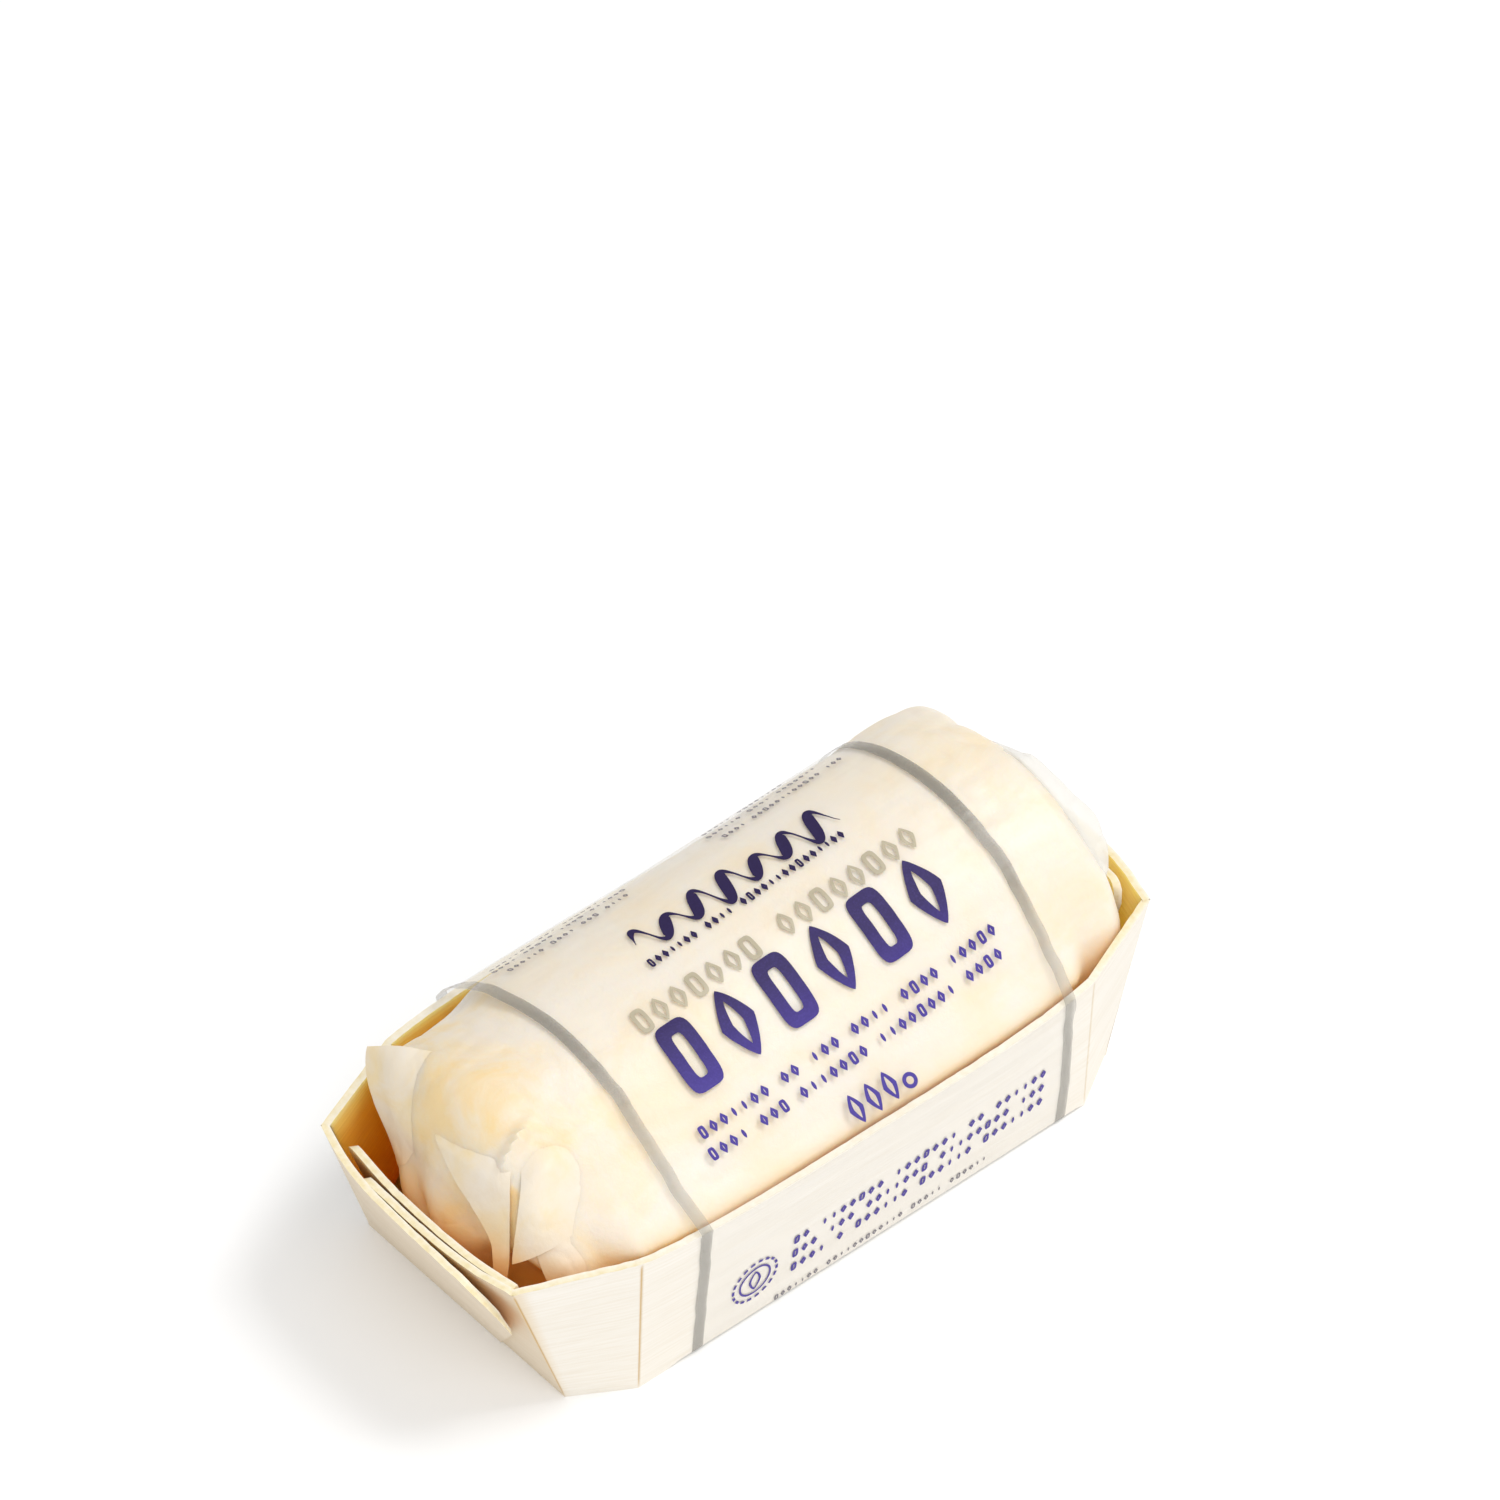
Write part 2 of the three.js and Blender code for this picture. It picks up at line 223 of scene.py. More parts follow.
def add_mesh(name, points, faces, materials, face_material=None, uv=None, values=None):
    """A smooth-shaded mesh object from points in millimetres, with float attributes given for its points."""
    mesh = bpy.data.meshes.new(name)
    mesh.from_pydata((np.asarray(points) * MM).tolist(), [], [list(map(int, f)) for f in faces])
    for material in materials:
        mesh.materials.append(material)
    if face_material is not None:
        mesh.polygons.foreach_set("material_index", np.asarray(face_material, np.int32))
    for key, array in (values or {}).items():
        mesh.attributes.new(key, "FLOAT", "POINT").data.foreach_set("value", np.asarray(array, np.float32))
    if uv is not None:
        corner = np.zeros(len(mesh.loops), np.int32)
        mesh.loops.foreach_get("vertex_index", corner)
        mesh.uv_layers.new(name="sheet").data.foreach_set("uv", np.asarray(uv, np.float32)[corner].ravel())
    mesh.polygons.foreach_set("use_smooth", np.ones(len(mesh.polygons), bool))
    mesh.set_sharp_from_angle(angle=CREASE_ANGLE)
    piece = bpy.data.objects.new(name, mesh)
    bpy.context.scene.collection.objects.link(piece)
    return piece


def turned_out(points, faces):
    """The quads, turned round if they point into the body."""
    a, b, c, d = (points[faces[:, k]] for k in range(4))
    volume = np.einsum("ij,ij->", a, np.cross(b, c) + np.cross(c, d))
    return faces if volume > 0 else faces[:, ::-1]


def slab_parts(outer, inner, ring=False):
    """Points, faces and face kinds of a closed sheet between two grids (rows, columns, 3).

    The kinds are 0 for the outer grid's faces, 1 for the inner grid's and 2 for the cut edges.
    """
    rows, columns = outer.shape[:2]
    count = rows * columns
    points = np.concatenate([outer.reshape(-1, 3), inner.reshape(-1, 3)])
    front = grid_faces(columns, rows, 0, ring)
    back = grid_faces(columns, rows, count, ring)[:, ::-1]
    rims = [np.arange(columns), np.arange(columns)[::-1] + (rows - 1) * columns]
    if ring:
        rims = [np.append(rims[0], 0), np.append((rows - 1) * columns, rims[1])]
    else:
        rims += [np.arange(rows)[::-1] * columns, np.arange(rows) * columns + columns - 1]
    edges = [np.stack([r[1:], r[:-1], r[:-1] + count, r[1:] + count], 1) for r in rims]
    faces = np.concatenate([front, back, *edges])
    kinds = np.repeat([0, 1, 2], (len(front), len(back), sum(map(len, edges))))
    return points, turned_out(points, faces), kinds


def slab(name, outer, inner, materials, uv=None, values=None, ring=False):
    """A closed sheet between two grids of points, with materials for its outer, inner and cut faces."""
    points, faces, kinds = slab_parts(outer, inner, ring)
    both = {key: np.concatenate([a.ravel(), b.ravel()]) for key, (a, b) in (values or {}).items()}
    sheet_uv = None if uv is None else np.tile(uv.reshape(-1, 2), (2, 1))
    return add_mesh(name, points, faces, materials, np.minimum(kinds, len(materials) - 1), sheet_uv, both)


def normals_of(grid, ring=False):
    """Unit normals of a grid of points, from the slopes along its rows and columns."""
    if ring:
        across = np.roll(grid, -1, 1) - np.roll(grid, 1, 1)
    else:
        across = np.gradient(grid, axis=1)
    normal = np.cross(across, np.gradient(grid, axis=0))
    return normal / np.maximum(np.linalg.norm(normal, axis=-1, keepdims=True), 1e-9)


# Tray shapes


def underside(x):
    """Height of the tray's underside: flat on the table at the ends, arched over the film."""
    a, b, c, d = ARCH_STATIONS
    return ARCH * np.clip(np.minimum((x - a) / (b - a), (d - x) / (d - c)), 0, 1)


def wall_half_width(x, z):
    """Outer half width of a long wall. The rim bows out between the folds, by a fourth power."""
    bow = WALL_BOW * (1 - np.minimum(1, np.abs(x / FOLD_X)) ** 4)
    return mix(BASE_HALF_WIDTH, RIM_HALF_WIDTH + bow, z / TRAY_HEIGHT)


def tray_half_width(x, z):
    """Outer half width of the whole tray at x and height z, with its slanted corner panels."""
    up = z / TRAY_HEIGHT
    end_x = mix(CORNER_BASE[0], CORNER_TOP[0], up)
    end_y = mix(CORNER_BASE[1], CORNER_TOP[1], up)
    along = np.clip((np.abs(x) - FOLD_X) / (end_x - FOLD_X), 0, 1)
    return mix(wall_half_width(x, z), end_y, along)


def flap_edges(flap, u):
    """Foot and rim points of an end flap. Its free corner falls away in a quarter ellipse."""
    top = spline(flap["rim"], u)
    past = np.clip((u - 1 + flap["round"]) / flap["round"], 0, 1)
    z = TRAY_HEIGHT - flap["drop"] * (1 - np.sqrt(1 - past**2))
    lean = mix(flap["foot_x"], top[:, 0], z / TRAY_HEIGHT)
    foot = np.stack([0 * u + flap["foot_x"], mix(*flap["foot_y"], u), 0 * u], -1)
    return foot, np.stack([lean, top[:, 1], z], -1)


def panel_shares(length, fine_start=True, fine_end=True):
    """Shares of a panel's length for its columns: 0.7 mm apart, and finer next to a scored fold."""
    fine = np.array([0, 0.1, 0.2, 0.3, 0.42, 0.6, 0.9])
    middle = np.arange(1.4, length - 1.3, 0.7)
    start = fine if fine_start else np.array([0, 0.7])
    end = length - (fine[::-1] if fine_end else np.array([0.7, 0]))
    return np.concatenate([start, middle, end]) / length


def wall_strip():
    """Foot and rim edges of the near side's sheet, from its flap at the left end to the one at the right.

    Returns both edges, and how far each column is from the nearest scored fold.
    """
    shares = panel_shares(MIDDLE_FLAP["length"], fine_end=False)
    left_foot, left_rim = (edge[::-1] * HALF_TURN for edge in flap_edges(MIDDLE_FLAP, shares))
    left_gap = shares[::-1] * MIDDLE_FLAP["length"]
    shares = panel_shares(OUTMOST_FLAP["length"], fine_end=False)
    right_foot, right_rim = flap_edges(OUTMOST_FLAP, shares)
    right_gap = shares * OUTMOST_FLAP["length"]

    x = FOLD_X * (2 * panel_shares(2 * FOLD_X) - 1)
    low = underside(x)
    wall_foot = np.stack([x, -wall_half_width(x, low), low], -1)
    wall_rim = np.stack([x, -wall_half_width(x, TRAY_HEIGHT), 0 * x + TRAY_HEIGHT], -1)

    slant = panel_shares(CORNER_PANEL_LENGTH)[1:-1, None]
    foot_corner = np.array([CORNER_BASE[0], -CORNER_BASE[1], 0])
    rim_corner = np.array([CORNER_TOP[0], -CORNER_TOP[1], TRAY_HEIGHT])
    panel_foot = mix(wall_foot[-1], foot_corner, slant)
    panel_rim = mix(wall_rim[-1], rim_corner, slant)
    mirror = np.array([-1, 1, 1])
    foot = [left_foot, panel_foot[::-1] * mirror, wall_foot, panel_foot, right_foot]
    rim = [left_rim, panel_rim[::-1] * mirror, wall_rim, panel_rim, right_rim]
    slant_gap = CORNER_PANEL_LENGTH * np.minimum(slant, 1 - slant)[:, 0]
    gap = [left_gap, slant_gap[::-1], FOLD_X - np.abs(x), slant_gap, right_gap]
    return np.concatenate(foot), np.concatenate(rim), np.concatenate(gap)


def veneer_sheet(name, foot, rim, fold_gap, materials, seed, turn=False):
    """A standing sheet of veneer: straight lines from foot to rim, thickened inwards in plan.

    The outer face has a shallow groove along each scored fold, and the rim is a slightly rough cut.
    """
    rows = np.linspace(0, 1, 26)[:, None, None]
    plan = rim * [1, 1, 0]
    rough = RIM_ROUGHNESS * noise(plan, 1.1, seed) + RIM_ROUGHNESS * noise(plan, 3.5, seed + 1)
    rim = rim + np.stack([0 * rough, 0 * rough, np.minimum(rough, 0)], -1)
    outer = mix(foot[None], rim[None], rows)
    along = np.gradient(outer, axis=1)
    side = np.stack([-along[..., 1], along[..., 0]], -1)
    side /= np.linalg.norm(side, axis=-1, keepdims=True)
    turned = np.einsum("ijk,ijk->ij", np.roll(side, 1, 1), np.roll(side, -1, 1))
    turned[:, [0, -1]] = 1
    mitre = 1 / np.sqrt(np.clip((1 + turned) / 2, 0.5, 1))
    inward = np.concatenate([side * mitre[..., None], np.zeros(side.shape[:2] + (1,))], -1)
    inner = outer + inward * VENEER
    groove = np.exp(-((fold_gap / SCORE_HALF_WIDTH) ** 2))[None] * np.ones((len(rows), 1))
    groove = groove * ease(0, 0.06, rows[:, 0]) * ease(0, 0.05, 1 - rows[:, 0])
    outer = outer + inward * (SCORE_DEPTH * groove)[..., None]
    run = np.concatenate([[0], np.cumsum(np.linalg.norm(np.diff(rim, axis=0), axis=1))])
    uv = np.stack(np.broadcast_arrays(run[None] * MM, outer[..., 2] * MM), -1)
    # Depth below the rim sets the painted glow and shade inside the tray.
    depth = np.clip(1 - outer[..., 2] / TRAY_HEIGHT, 0, 1)
    if turn:
        outer, inner = outer * HALF_TURN, inner * HALF_TURN
    left = ease(-34, -46, outer[..., 0])
    # The tan of each scored fold is strengthened at the left end as painted shade.
    mark = groove * mix(0.4, 1, left)
    # Painted end shading: painted shade on the outer faces at the left end, and a painted glow on the inside
    # of the right end.
    painted_end_shading = left * (0.5 + 0.5 * ease(22.2, 21.4, np.abs(outer[..., 1])))
    values = {"score": (mark, 0 * mark), "depth": (depth, depth), "painted_end_shading": (painted_end_shading, ease(40, 50, inner[..., 0]))}
    return slab(name, outer, inner, materials, uv, values)


def inmost_sheet(name, materials, seed, turn):
    """The inmost flap of an end, a leaf of its own behind the two that are lapped over it."""
    shares = panel_shares(INMOST_FLAP["length"], fine_start=False, fine_end=False)
    foot, rim = (edge[::-1] * HALF_TURN for edge in flap_edges(INMOST_FLAP, shares))
    no_fold = 0 * shares + FOLD_X
    return veneer_sheet(name, foot, rim, no_fold, materials, seed, turn)


def base_sheet(name, materials):
    """The tray's base: as wide as its walls' feet, arched a little over the film."""
    x = np.linspace(-CORNER_BASE[0], CORNER_BASE[0], 150)[None]
    across = np.linspace(-1, 1, 40)[:, None]
    y = across * (tray_half_width(x, 0) - VENEER / 2)
    x, y = np.broadcast_arrays(x, y)
    lower = np.stack([x, y, underside(x)], -1)
    upper = lower + [0, 0, VENEER]
    uv = np.stack([x, y], -1) * MM
    flat = np.zeros(x.shape)
    # The base takes the deepest painted glow and shade, and no painted end shading.
    values = {"score": (flat, flat), "depth": (flat + 1, flat + 1), "painted_end_shading": (flat, flat)}
    return slab(name, lower, upper, materials, uv, values)


# Roll shapes


def meridian():
    """Distance along the roll's length line from its left pole, with x and the section's share of full size.

    Each end is a quarter of a superellipse, and the middle is straight.
    """
    turn = np.linspace(0, np.pi / 2, 160)
    size = np.sin(turn) ** (2 / SHOULDER_POWER)
    out = np.cos(turn) ** (2 / SHOULDER_POWER)
    middle = np.linspace(LEFT_SHOULDER, RIGHT_SHOULDER, 60)[1:-1]
    x = np.concatenate([mix(LEFT_SHOULDER, LEFT_END, out), middle, mix(RIGHT_SHOULDER, RIGHT_END, out[::-1])])
    size = np.concatenate([size, 0 * middle + 1, size[::-1]])
    run = np.concatenate([[0], np.cumsum(np.hypot(np.diff(x), MEAN_RADIUS * np.diff(size)))])
    return run, x, size


RUN, RUN_X, RUN_SIZE = meridian()


def rim_reach(x, angle, centre_y, centre_z, wide, tall):
    """How many times further out the paper lies where it is drawn straight from the butter to the near rim.

    In a section scaled to a unit circle, the taut paper follows the two tangents from the rim's point.
    """
    from_y = -(wall_half_width(x, TRAY_HEIGHT) - VENEER - RIM_TUCK) - centre_y
    from_z = TRAY_HEIGHT - RIM_TUCK - centre_z
    along = (from_y * np.cos(ROLL_TILT) + from_z * np.sin(ROLL_TILT)) / wide
    above = (from_z * np.cos(ROLL_TILT) - from_y * np.sin(ROLL_TILT)) / tall
    far = np.maximum(np.hypot(along, above), 1.001)
    aside = (angle - np.arctan2(above, along) + np.pi) % (2 * np.pi) - np.pi
    off_tangent = np.arccos(1 / far) - np.sqrt(aside**2 + 0.04**2)
    drawn = 1 / np.cos(np.clip(off_tangent, 0, 0.9))
    return 1 + (drawn - 1) * ease(46, 40, np.abs(x))


def roll_surface(run, angle):
    """A point of the bare roll: a tilted ellipse at each x, pressed flat on the base, walls and ends."""
    x = np.interp(run, RUN, RUN_X)
    size = np.interp(run, RUN, RUN_SIZE)
    along = (x - ROLL_LEFT["x"]) / (ROLL_RIGHT["x"] - ROLL_LEFT["x"])
    keys = ("y", "z", "wide", "tall")
    centre_y, centre_z, wide, tall = (mix(ROLL_LEFT[key], ROLL_RIGHT[key], along) for key in keys)
    least_size = np.maximum(size, 0.05)
    drawn = rim_reach(x, angle, centre_y, centre_z, wide * least_size, tall * least_size)
    a = wide * size * drawn * np.cos(angle)
    b = tall * size * drawn * np.sin(angle)
    z = centre_z + a * np.sin(ROLL_TILT) + b * np.cos(ROLL_TILT)
    z = np.maximum(z, ARCH + VENEER + GAP)
    y = centre_y + a * np.cos(ROLL_TILT) - b * np.sin(ROLL_TILT)
    room = tray_half_width(x, np.minimum(z, TRAY_HEIGHT)) - VENEER - WALL_GAP
    room = room + 30 * ease(TRAY_HEIGHT, TRAY_HEIGHT + 3 * RIM_CLEARANCE, z)
    y = np.sign(y) * soft_least(np.abs(y), room, 0.5)
    reach = mix(CORNER_BASE[0], CORNER_TOP[0], np.clip(z / TRAY_HEIGHT, 0, 1)) - END_CLEARANCE
    reach = reach - RIGHT_END_GAP * (x > 0)
    x = np.sign(x) * soft_least(np.abs(x), reach, 0.5)
    return np.stack([x, y, z], -1)


def end_chart(a, b, end):
    """A point of the roll at a and b on an end's chart: millimetres over the surface from the end's pole."""
    run = np.hypot(a, b)
    return roll_surface(run if end < 0 else RUN[-1] - run, np.arctan2(b, a))


def roll_hollows(points, run, angle):
    """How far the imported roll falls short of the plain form.

    It is low at each end's far corner, on the left end's shoulder and on the right end's crown, and each
    of these hollows fades out smoothly.
    """
    from_end = np.minimum(run, RUN[-1] - run)
    corner = np.hypot(from_end * np.cos(angle) - FAR_CORNER[0], from_end * np.sin(angle) - FAR_CORNER[1])
    off_ridge = (angle - 0.22 + np.pi) % (2 * np.pi) - np.pi
    shoulder = ease(-28, -37, points[..., 0]) * np.exp(-((off_ridge / 0.6) ** 2))
    crown = ease(46, 55, points[..., 0]) * np.exp(-(((angle - 0.85) / 0.38) ** 2))
    return CORNER_HOLLOW * ease(14, 3, corner) + SHOULDER_HOLLOW * shoulder + CROWN_HOLLOW * crown


def roll_relief(points, run, angle):
    """How far the parchment stands off the plain form: crumpled at the ends, almost smooth under the film.

    It is a sum of noises, with a bulge at each end, the left end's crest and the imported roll's hollows.
    """
    from_end = np.minimum(run, RUN[-1] - run)
    a, b = from_end * np.cos(angle), from_end * np.sin(angle)
    loose = ease(52, 26, from_end)
    bare = mix(1, 0.35, ease(24, 16, np.hypot(a + 9, b - 14)))
    swell = noise(points, 14, 3)
    crumple = crease_noise(points, 9, 5) - 0.6
    fine = crease_noise(points, 3.6, 8) - 0.6
    stretched = noise(points * [0.3, 1, 1], 6, 12)
    end_bulge = 2.4 * ease(12, 3, np.hypot(a - 1, b + 3))
    past = b - CREST_PLACE[1]
    off_crest = np.hypot(a - CREST_PLACE[0] - CREST_LEAN * past, 0.24 * past)
    crest = np.exp(-((off_crest / 0.8) ** 2)) * ease(4, -4, points[..., 0])
    crest = crest * (1.3 + 0.9 * noise(points, 2.2, 17))
    relief = bare * loose * (0.45 * swell + 0.75 * crumple + 0.3 * fine) + (1 - loose) * 0.14 * stretched
    return relief + end_bulge + crest - roll_hollows(points, run, angle)


def tucked_hollow(run, angle):
    """A hollow low on the near side of each end, where the paper is tucked in under the folded leaves."""
    from_end = np.minimum(run, RUN[-1] - run)
    a, b = from_end * np.cos(angle), from_end * np.sin(angle)
    return TUCK_HOLLOW * ease(10, 2, np.hypot(a - TUCKED_CORNER[0], b - TUCKED_CORNER[1]))


def kept_inside(points):
    """The points, with those under the rim that lie past the tray's inner faces moved back to them."""
    x, y, z = np.moveaxis(points, -1, 0)
    room = tray_half_width(x, np.clip(z, 0, TRAY_HEIGHT)) - VENEER - LEAST_GAP
    return np.stack([x, np.where(z < TRAY_HEIGHT, np.clip(y, -room, room), y), z], -1)


def chart_blend(left, right, u, v):
    """Chart points at shares u across and v down between two edges, each given by its corners."""
    start, stop = spline(left, v[:, 0]), spline(right, v[:, 0])
    return mix(start[:, None], stop[:, None], u[0][None, :, None])


def paper_sheet(name, material, end, left, right, lift, push=None, steps=(70, 60), seed=0, follow=0):
    """A loose leaf of the folded parchment, lying on an end of the roll.

    Its chart runs between two edges, and it stands off the roll by lift(u, v) along the surface's normal,
    plus push(u, v) in millimetres along x away from the middle, y and z. Follow is its share of the
    wrap's relief.
    """
    v, u = np.meshgrid(np.linspace(0, 1, steps[0]), np.linspace(0, 1, steps[1]), indexing="ij")
    chart = chart_blend(left, right, u, v)
    base = end_chart(chart[..., 0], chart[..., 1], end)
    normal = normals_of(base)
    normal *= np.sign(np.einsum("ijk,ijk->ij", normal, base - [end * 40, 0, 21]).sum())
    run, angle = np.hypot(chart[..., 0], chart[..., 1]), np.arctan2(chart[..., 1], chart[..., 0])
    stand = mix(-roll_hollows(base, run, angle), roll_relief(base, run, angle), follow)
    base = base + normal * stand[..., None]
    crinkle = 0.12 * noise(base, 5, 70 + seed) + 0.12 * (crease_noise(base, 3.1, 80 + seed) - 0.6)
    height = lift(u, v)
    sheet = base + normal * (height + crinkle)[..., None]
    if push is not None:
        sheet = sheet + push(u, v) * [end, 1, 1]
    sheet = kept_inside(sheet)
    normal = normals_of(sheet)
    normal *= np.sign(np.einsum("ijk,ijk->ij", normal, base - [end * 40, 0, 21]).sum())
    inner = sheet - normal * PAPER
    painted_glow_share, butter = paper_values(sheet)
    butter = butter * (1 - 0.3 * (1 - follow) * ease(0.1, 1.1, height))
    return slab(name, sheet, inner, [material], values={"painted_glow_share": (painted_glow_share, painted_glow_share), "butter": (butter, butter)})


def end_leaves(end, material, name):
    """The folded leaves on one end: end flap, near panel, the leaf under its hem, and at the left the ear.

    Each is sunk in the wrap along one edge or tip and eases out of it, by the product of its lift's terms.
    The right end's leaves are smaller and lie flatter.
    """
    seed, proud, size = (3, 1, 1) if end < 0 else (9, 0.6, RIGHT_LEAF_SIZE)

    def flap_lift(u, v):
        return -0.4 + proud * ease(0, 0.12 + 0.16 * u, v) * (0.85 + 1.1 * v * (1 - 0.6 * u))

    def panel_lift(u, v):
        return -0.35 + proud * ease(0, 0.4, v) * ease(0.95, 0, u) * (1.1 + 0.5 * v)

    def under_lift(u, v):
        return -0.6 + 1.0 * ease(0.9, 0.1, u)

    def ear_lift(u, v):
        return -0.6 + 1.3 * ease(0.95, 0.3, u) * ease(1.0, 0.7, v)

    def ear_push(u, v):
        return ((1 - u) ** 1.5 * (1 - v) ** 3)[..., None] * EAR_PUSH

    leaves = [
        paper_sheet(f"parchment_flap_{name}", material, end, size * FLAP_FREE_EDGE, size * FLAP_FOLD_EDGE,
                    flap_lift, seed=seed, follow=0.6),
        paper_sheet(f"parchment_panel_{name}", material, end, size * PANEL_FREE_EDGE, size * PANEL_SUNK_EDGE,
                    panel_lift, seed=seed + 1, follow=1),
        paper_sheet(f"parchment_hem_leaf_{name}", material, end, size * UNDER_FREE_EDGE,
                    size * UNDER_SUNK_EDGE, under_lift, seed=seed + 2, follow=1),
    ]
    if end < 0:
        leaves.append(paper_sheet(f"parchment_ear_{name}", material, end, EAR_FREE_EDGE, EAR_SUNK_EDGE,
                                  ear_lift, ear_push, seed=seed + 3, follow=0.5))
    return leaves


def paper_collar(material):
    """The margin of bare paper round the top of the right end: the roll's section drawn on past the butter.

    It narrows by the power 1.5 of the way out, and its crinkles grow towards its uneven free edge.
    """
    first, last = COLLAR_WIDTHS[0, 0], COLLAR_WIDTHS[-1, 0]
    angle, out = np.meshgrid(np.radians(np.linspace(first, last, 190)), np.linspace(0, 1, 26), indexing="ij")
    wide = np.interp(np.degrees(angle), *COLLAR_WIDTHS.T)
    shown = np.clip(wide / 3, 0, 1)
    start = np.interp(RIGHT_SHOULDER - 1, RUN_X, RUN)
    rim = roll_surface(start + 0 * out, angle)
    centre = np.array([0, ROLL_RIGHT["y"], ROLL_RIGHT["z"]])
    reach = COLLAR_START * mix(0.4, 1, shown) + wide * (1 + 0.12 * noise(rim, 7, 55)) * out
    narrow = COLLAR_SIZE - COLLAR_TAPER * out**1.5 - 0.09 * (1 - shown) - 0.06 * ease(0.2, 0, out)
    flat = (rim - centre) * [0, 1, 1] * narrow[..., None]
    place = np.stack([rim[..., 0] + reach, flat[..., 1] + centre[1], flat[..., 2] + centre[2]], -1)
    unit = flat / np.linalg.norm(flat, axis=-1, keepdims=True)
    crumple = crease_noise(place * [0.6, 1, 1], 3.4, 57) - 0.6
    place = place + unit * (shown * out * (0.9 * noise(place, 5, 56) + 0.7 * crumple))[..., None]
    inner = place - unit * PAPER
    return slab("parchment_collar_right", place, inner, [material])


def paper_values(points):
    """Painted glow share, from 0 clear above the tray's rim to 1 well below it, for a painted warm glow and
    shade, and butter, how yellow the paper shows.
    """
    x, z = points[..., 0], points[..., 2]
    near_end = ease(36, 50, np.abs(x))
    painted_glow_share = ease(TRAY_HEIGHT + 3 + 2 * near_end, TRAY_HEIGHT - 4 - 8 * near_end, z)
    wander = 1.2 * noise(points, 6, 91)
    butter = (0.5 + 0.5 * ease(-28, -40, x)) * ease(57, 51, x + wander)
    return painted_glow_share, butter


def off_pleat(run, angle):
    """How far a point of the roll is from the left end's pleat, a straight line between two folded leaves."""
    (a, b), (to_a, to_b) = PLEAT
    along, up = run * np.cos(angle) - a, run * np.sin(angle) - b
    share = np.clip((along * (to_a - a) + up * (to_b - b)) / ((to_a - a) ** 2 + (to_b - b) ** 2), 0, 1)
    return np.hypot(along - share * (to_a - a), up - share * (to_b - b))


def wrapped_roll(name, material):
    """The parchment round the butter, as one closed surface with a pole at each end.

    It is the plain roll, moved along its normals by the relief less the tucked hollow.
    """
    caps = np.linspace(POLE_GAP, CAP_RUN, 84)
    middle = np.linspace(CAP_RUN, RUN[-1] - CAP_RUN, 240)[1:-1]
    run = np.concatenate([caps, middle, RUN[-1] - caps[::-1]])[:, None]
    angle = np.linspace(0, 2 * np.pi, 231)[None, :-1]
    run, angle = np.broadcast_arrays(run, angle)
    plain = roll_surface(run, angle)
    normal = normals_of(plain, ring=True)
    outwards = np.sign(np.einsum("ijk,ijk->ij", normal, plain - [0, 1, 22]).sum())
    height = roll_relief(plain, run, angle) - tucked_hollow(run, angle)
    grid = kept_inside(plain + outwards * normal * height[..., None])
    rows, columns = grid.shape[:2]
    poles = np.stack([grid[0].mean(0), grid[-1].mean(0)])
    points = np.concatenate([grid.reshape(-1, 3), poles])
    around = np.arange(columns)
    after = (around + 1) % columns
    count = rows * columns
    quads = grid_faces(columns, rows, 0, ring=True)
    start = np.stack([around, 0 * around + count, after], 1)
    last = (rows - 1) * columns
    end = np.stack([around + last, after + last, 0 * around + count + 1], 1)
    first, second, third = (points[quads[:, k]] for k in range(3))
    if np.einsum("ij,ij->", first, np.cross(second, third)) < 0:
        quads, start, end = quads[:, ::-1], start[:, ::-1], end[:, ::-1]
    faces = [*quads.tolist(), *start.tolist(), *end.tolist()]
    painted_glow_share, butter = paper_values(points)
    # Painted shade along the left end's pleat, where the fold lies in shadow.
    painted_glow_share[:count] = np.maximum(painted_glow_share[:count], PLEAT_SHADE * ease(2.2, 0.6, off_pleat(run, angle)).ravel())
    return add_mesh(name, points, faces, [material], values={"painted_glow_share": painted_glow_share, "butter": butter})


# Film shapes


def film_table():
    """The film's loop at each station: the tightest loop round roll and tray, moved out by the clearance.

    Each loop starts on the near rim and runs up over the roll, in even steps of length.
    """
    angle = np.linspace(0, 2 * np.pi, 361)[:-1]
    turn = np.pi - np.linspace(0, 2 * np.pi, FILM_TURNS)
    direction = np.stack([np.cos(turn), np.sin(turn)], -1)
    loops = []
    lengths = []
    for x in FILM_STATIONS:
        run = np.interp(x, RUN_X, RUN)
        roll = roll_surface(run + 0 * angle, angle)[:, 1:]
        rim = wall_half_width(x, TRAY_HEIGHT)
        foot = ARCH + GAP - BASE_GAP
        corners = [(-rim, TRAY_HEIGHT), (rim, TRAY_HEIGHT), (-BASE_HALF_WIDTH, foot), (BASE_HALF_WIDTH, foot)]
        held = np.vstack([roll, corners])
        off = np.append(np.full(len(roll), FILM_CLEARANCE), np.full(len(corners), FILM_ON_TRAY))
        touch = np.argmax(held @ direction.T + off[:, None], axis=0)
        loop = held[touch] + direction * off[touch, None]
        length = np.concatenate([[0], np.cumsum(np.linalg.norm(np.diff(loop, axis=0), axis=1))])
        even = np.linspace(0, length[-1], FILM_SAMPLES)
        loops.append(np.stack([np.interp(even, length, loop[:, k]) for k in (0, 1)], -1))
        lengths.append(length[-1])
    return np.array(loops), np.array(lengths)


FILM_LOOPS, FILM_LENGTHS = film_table()


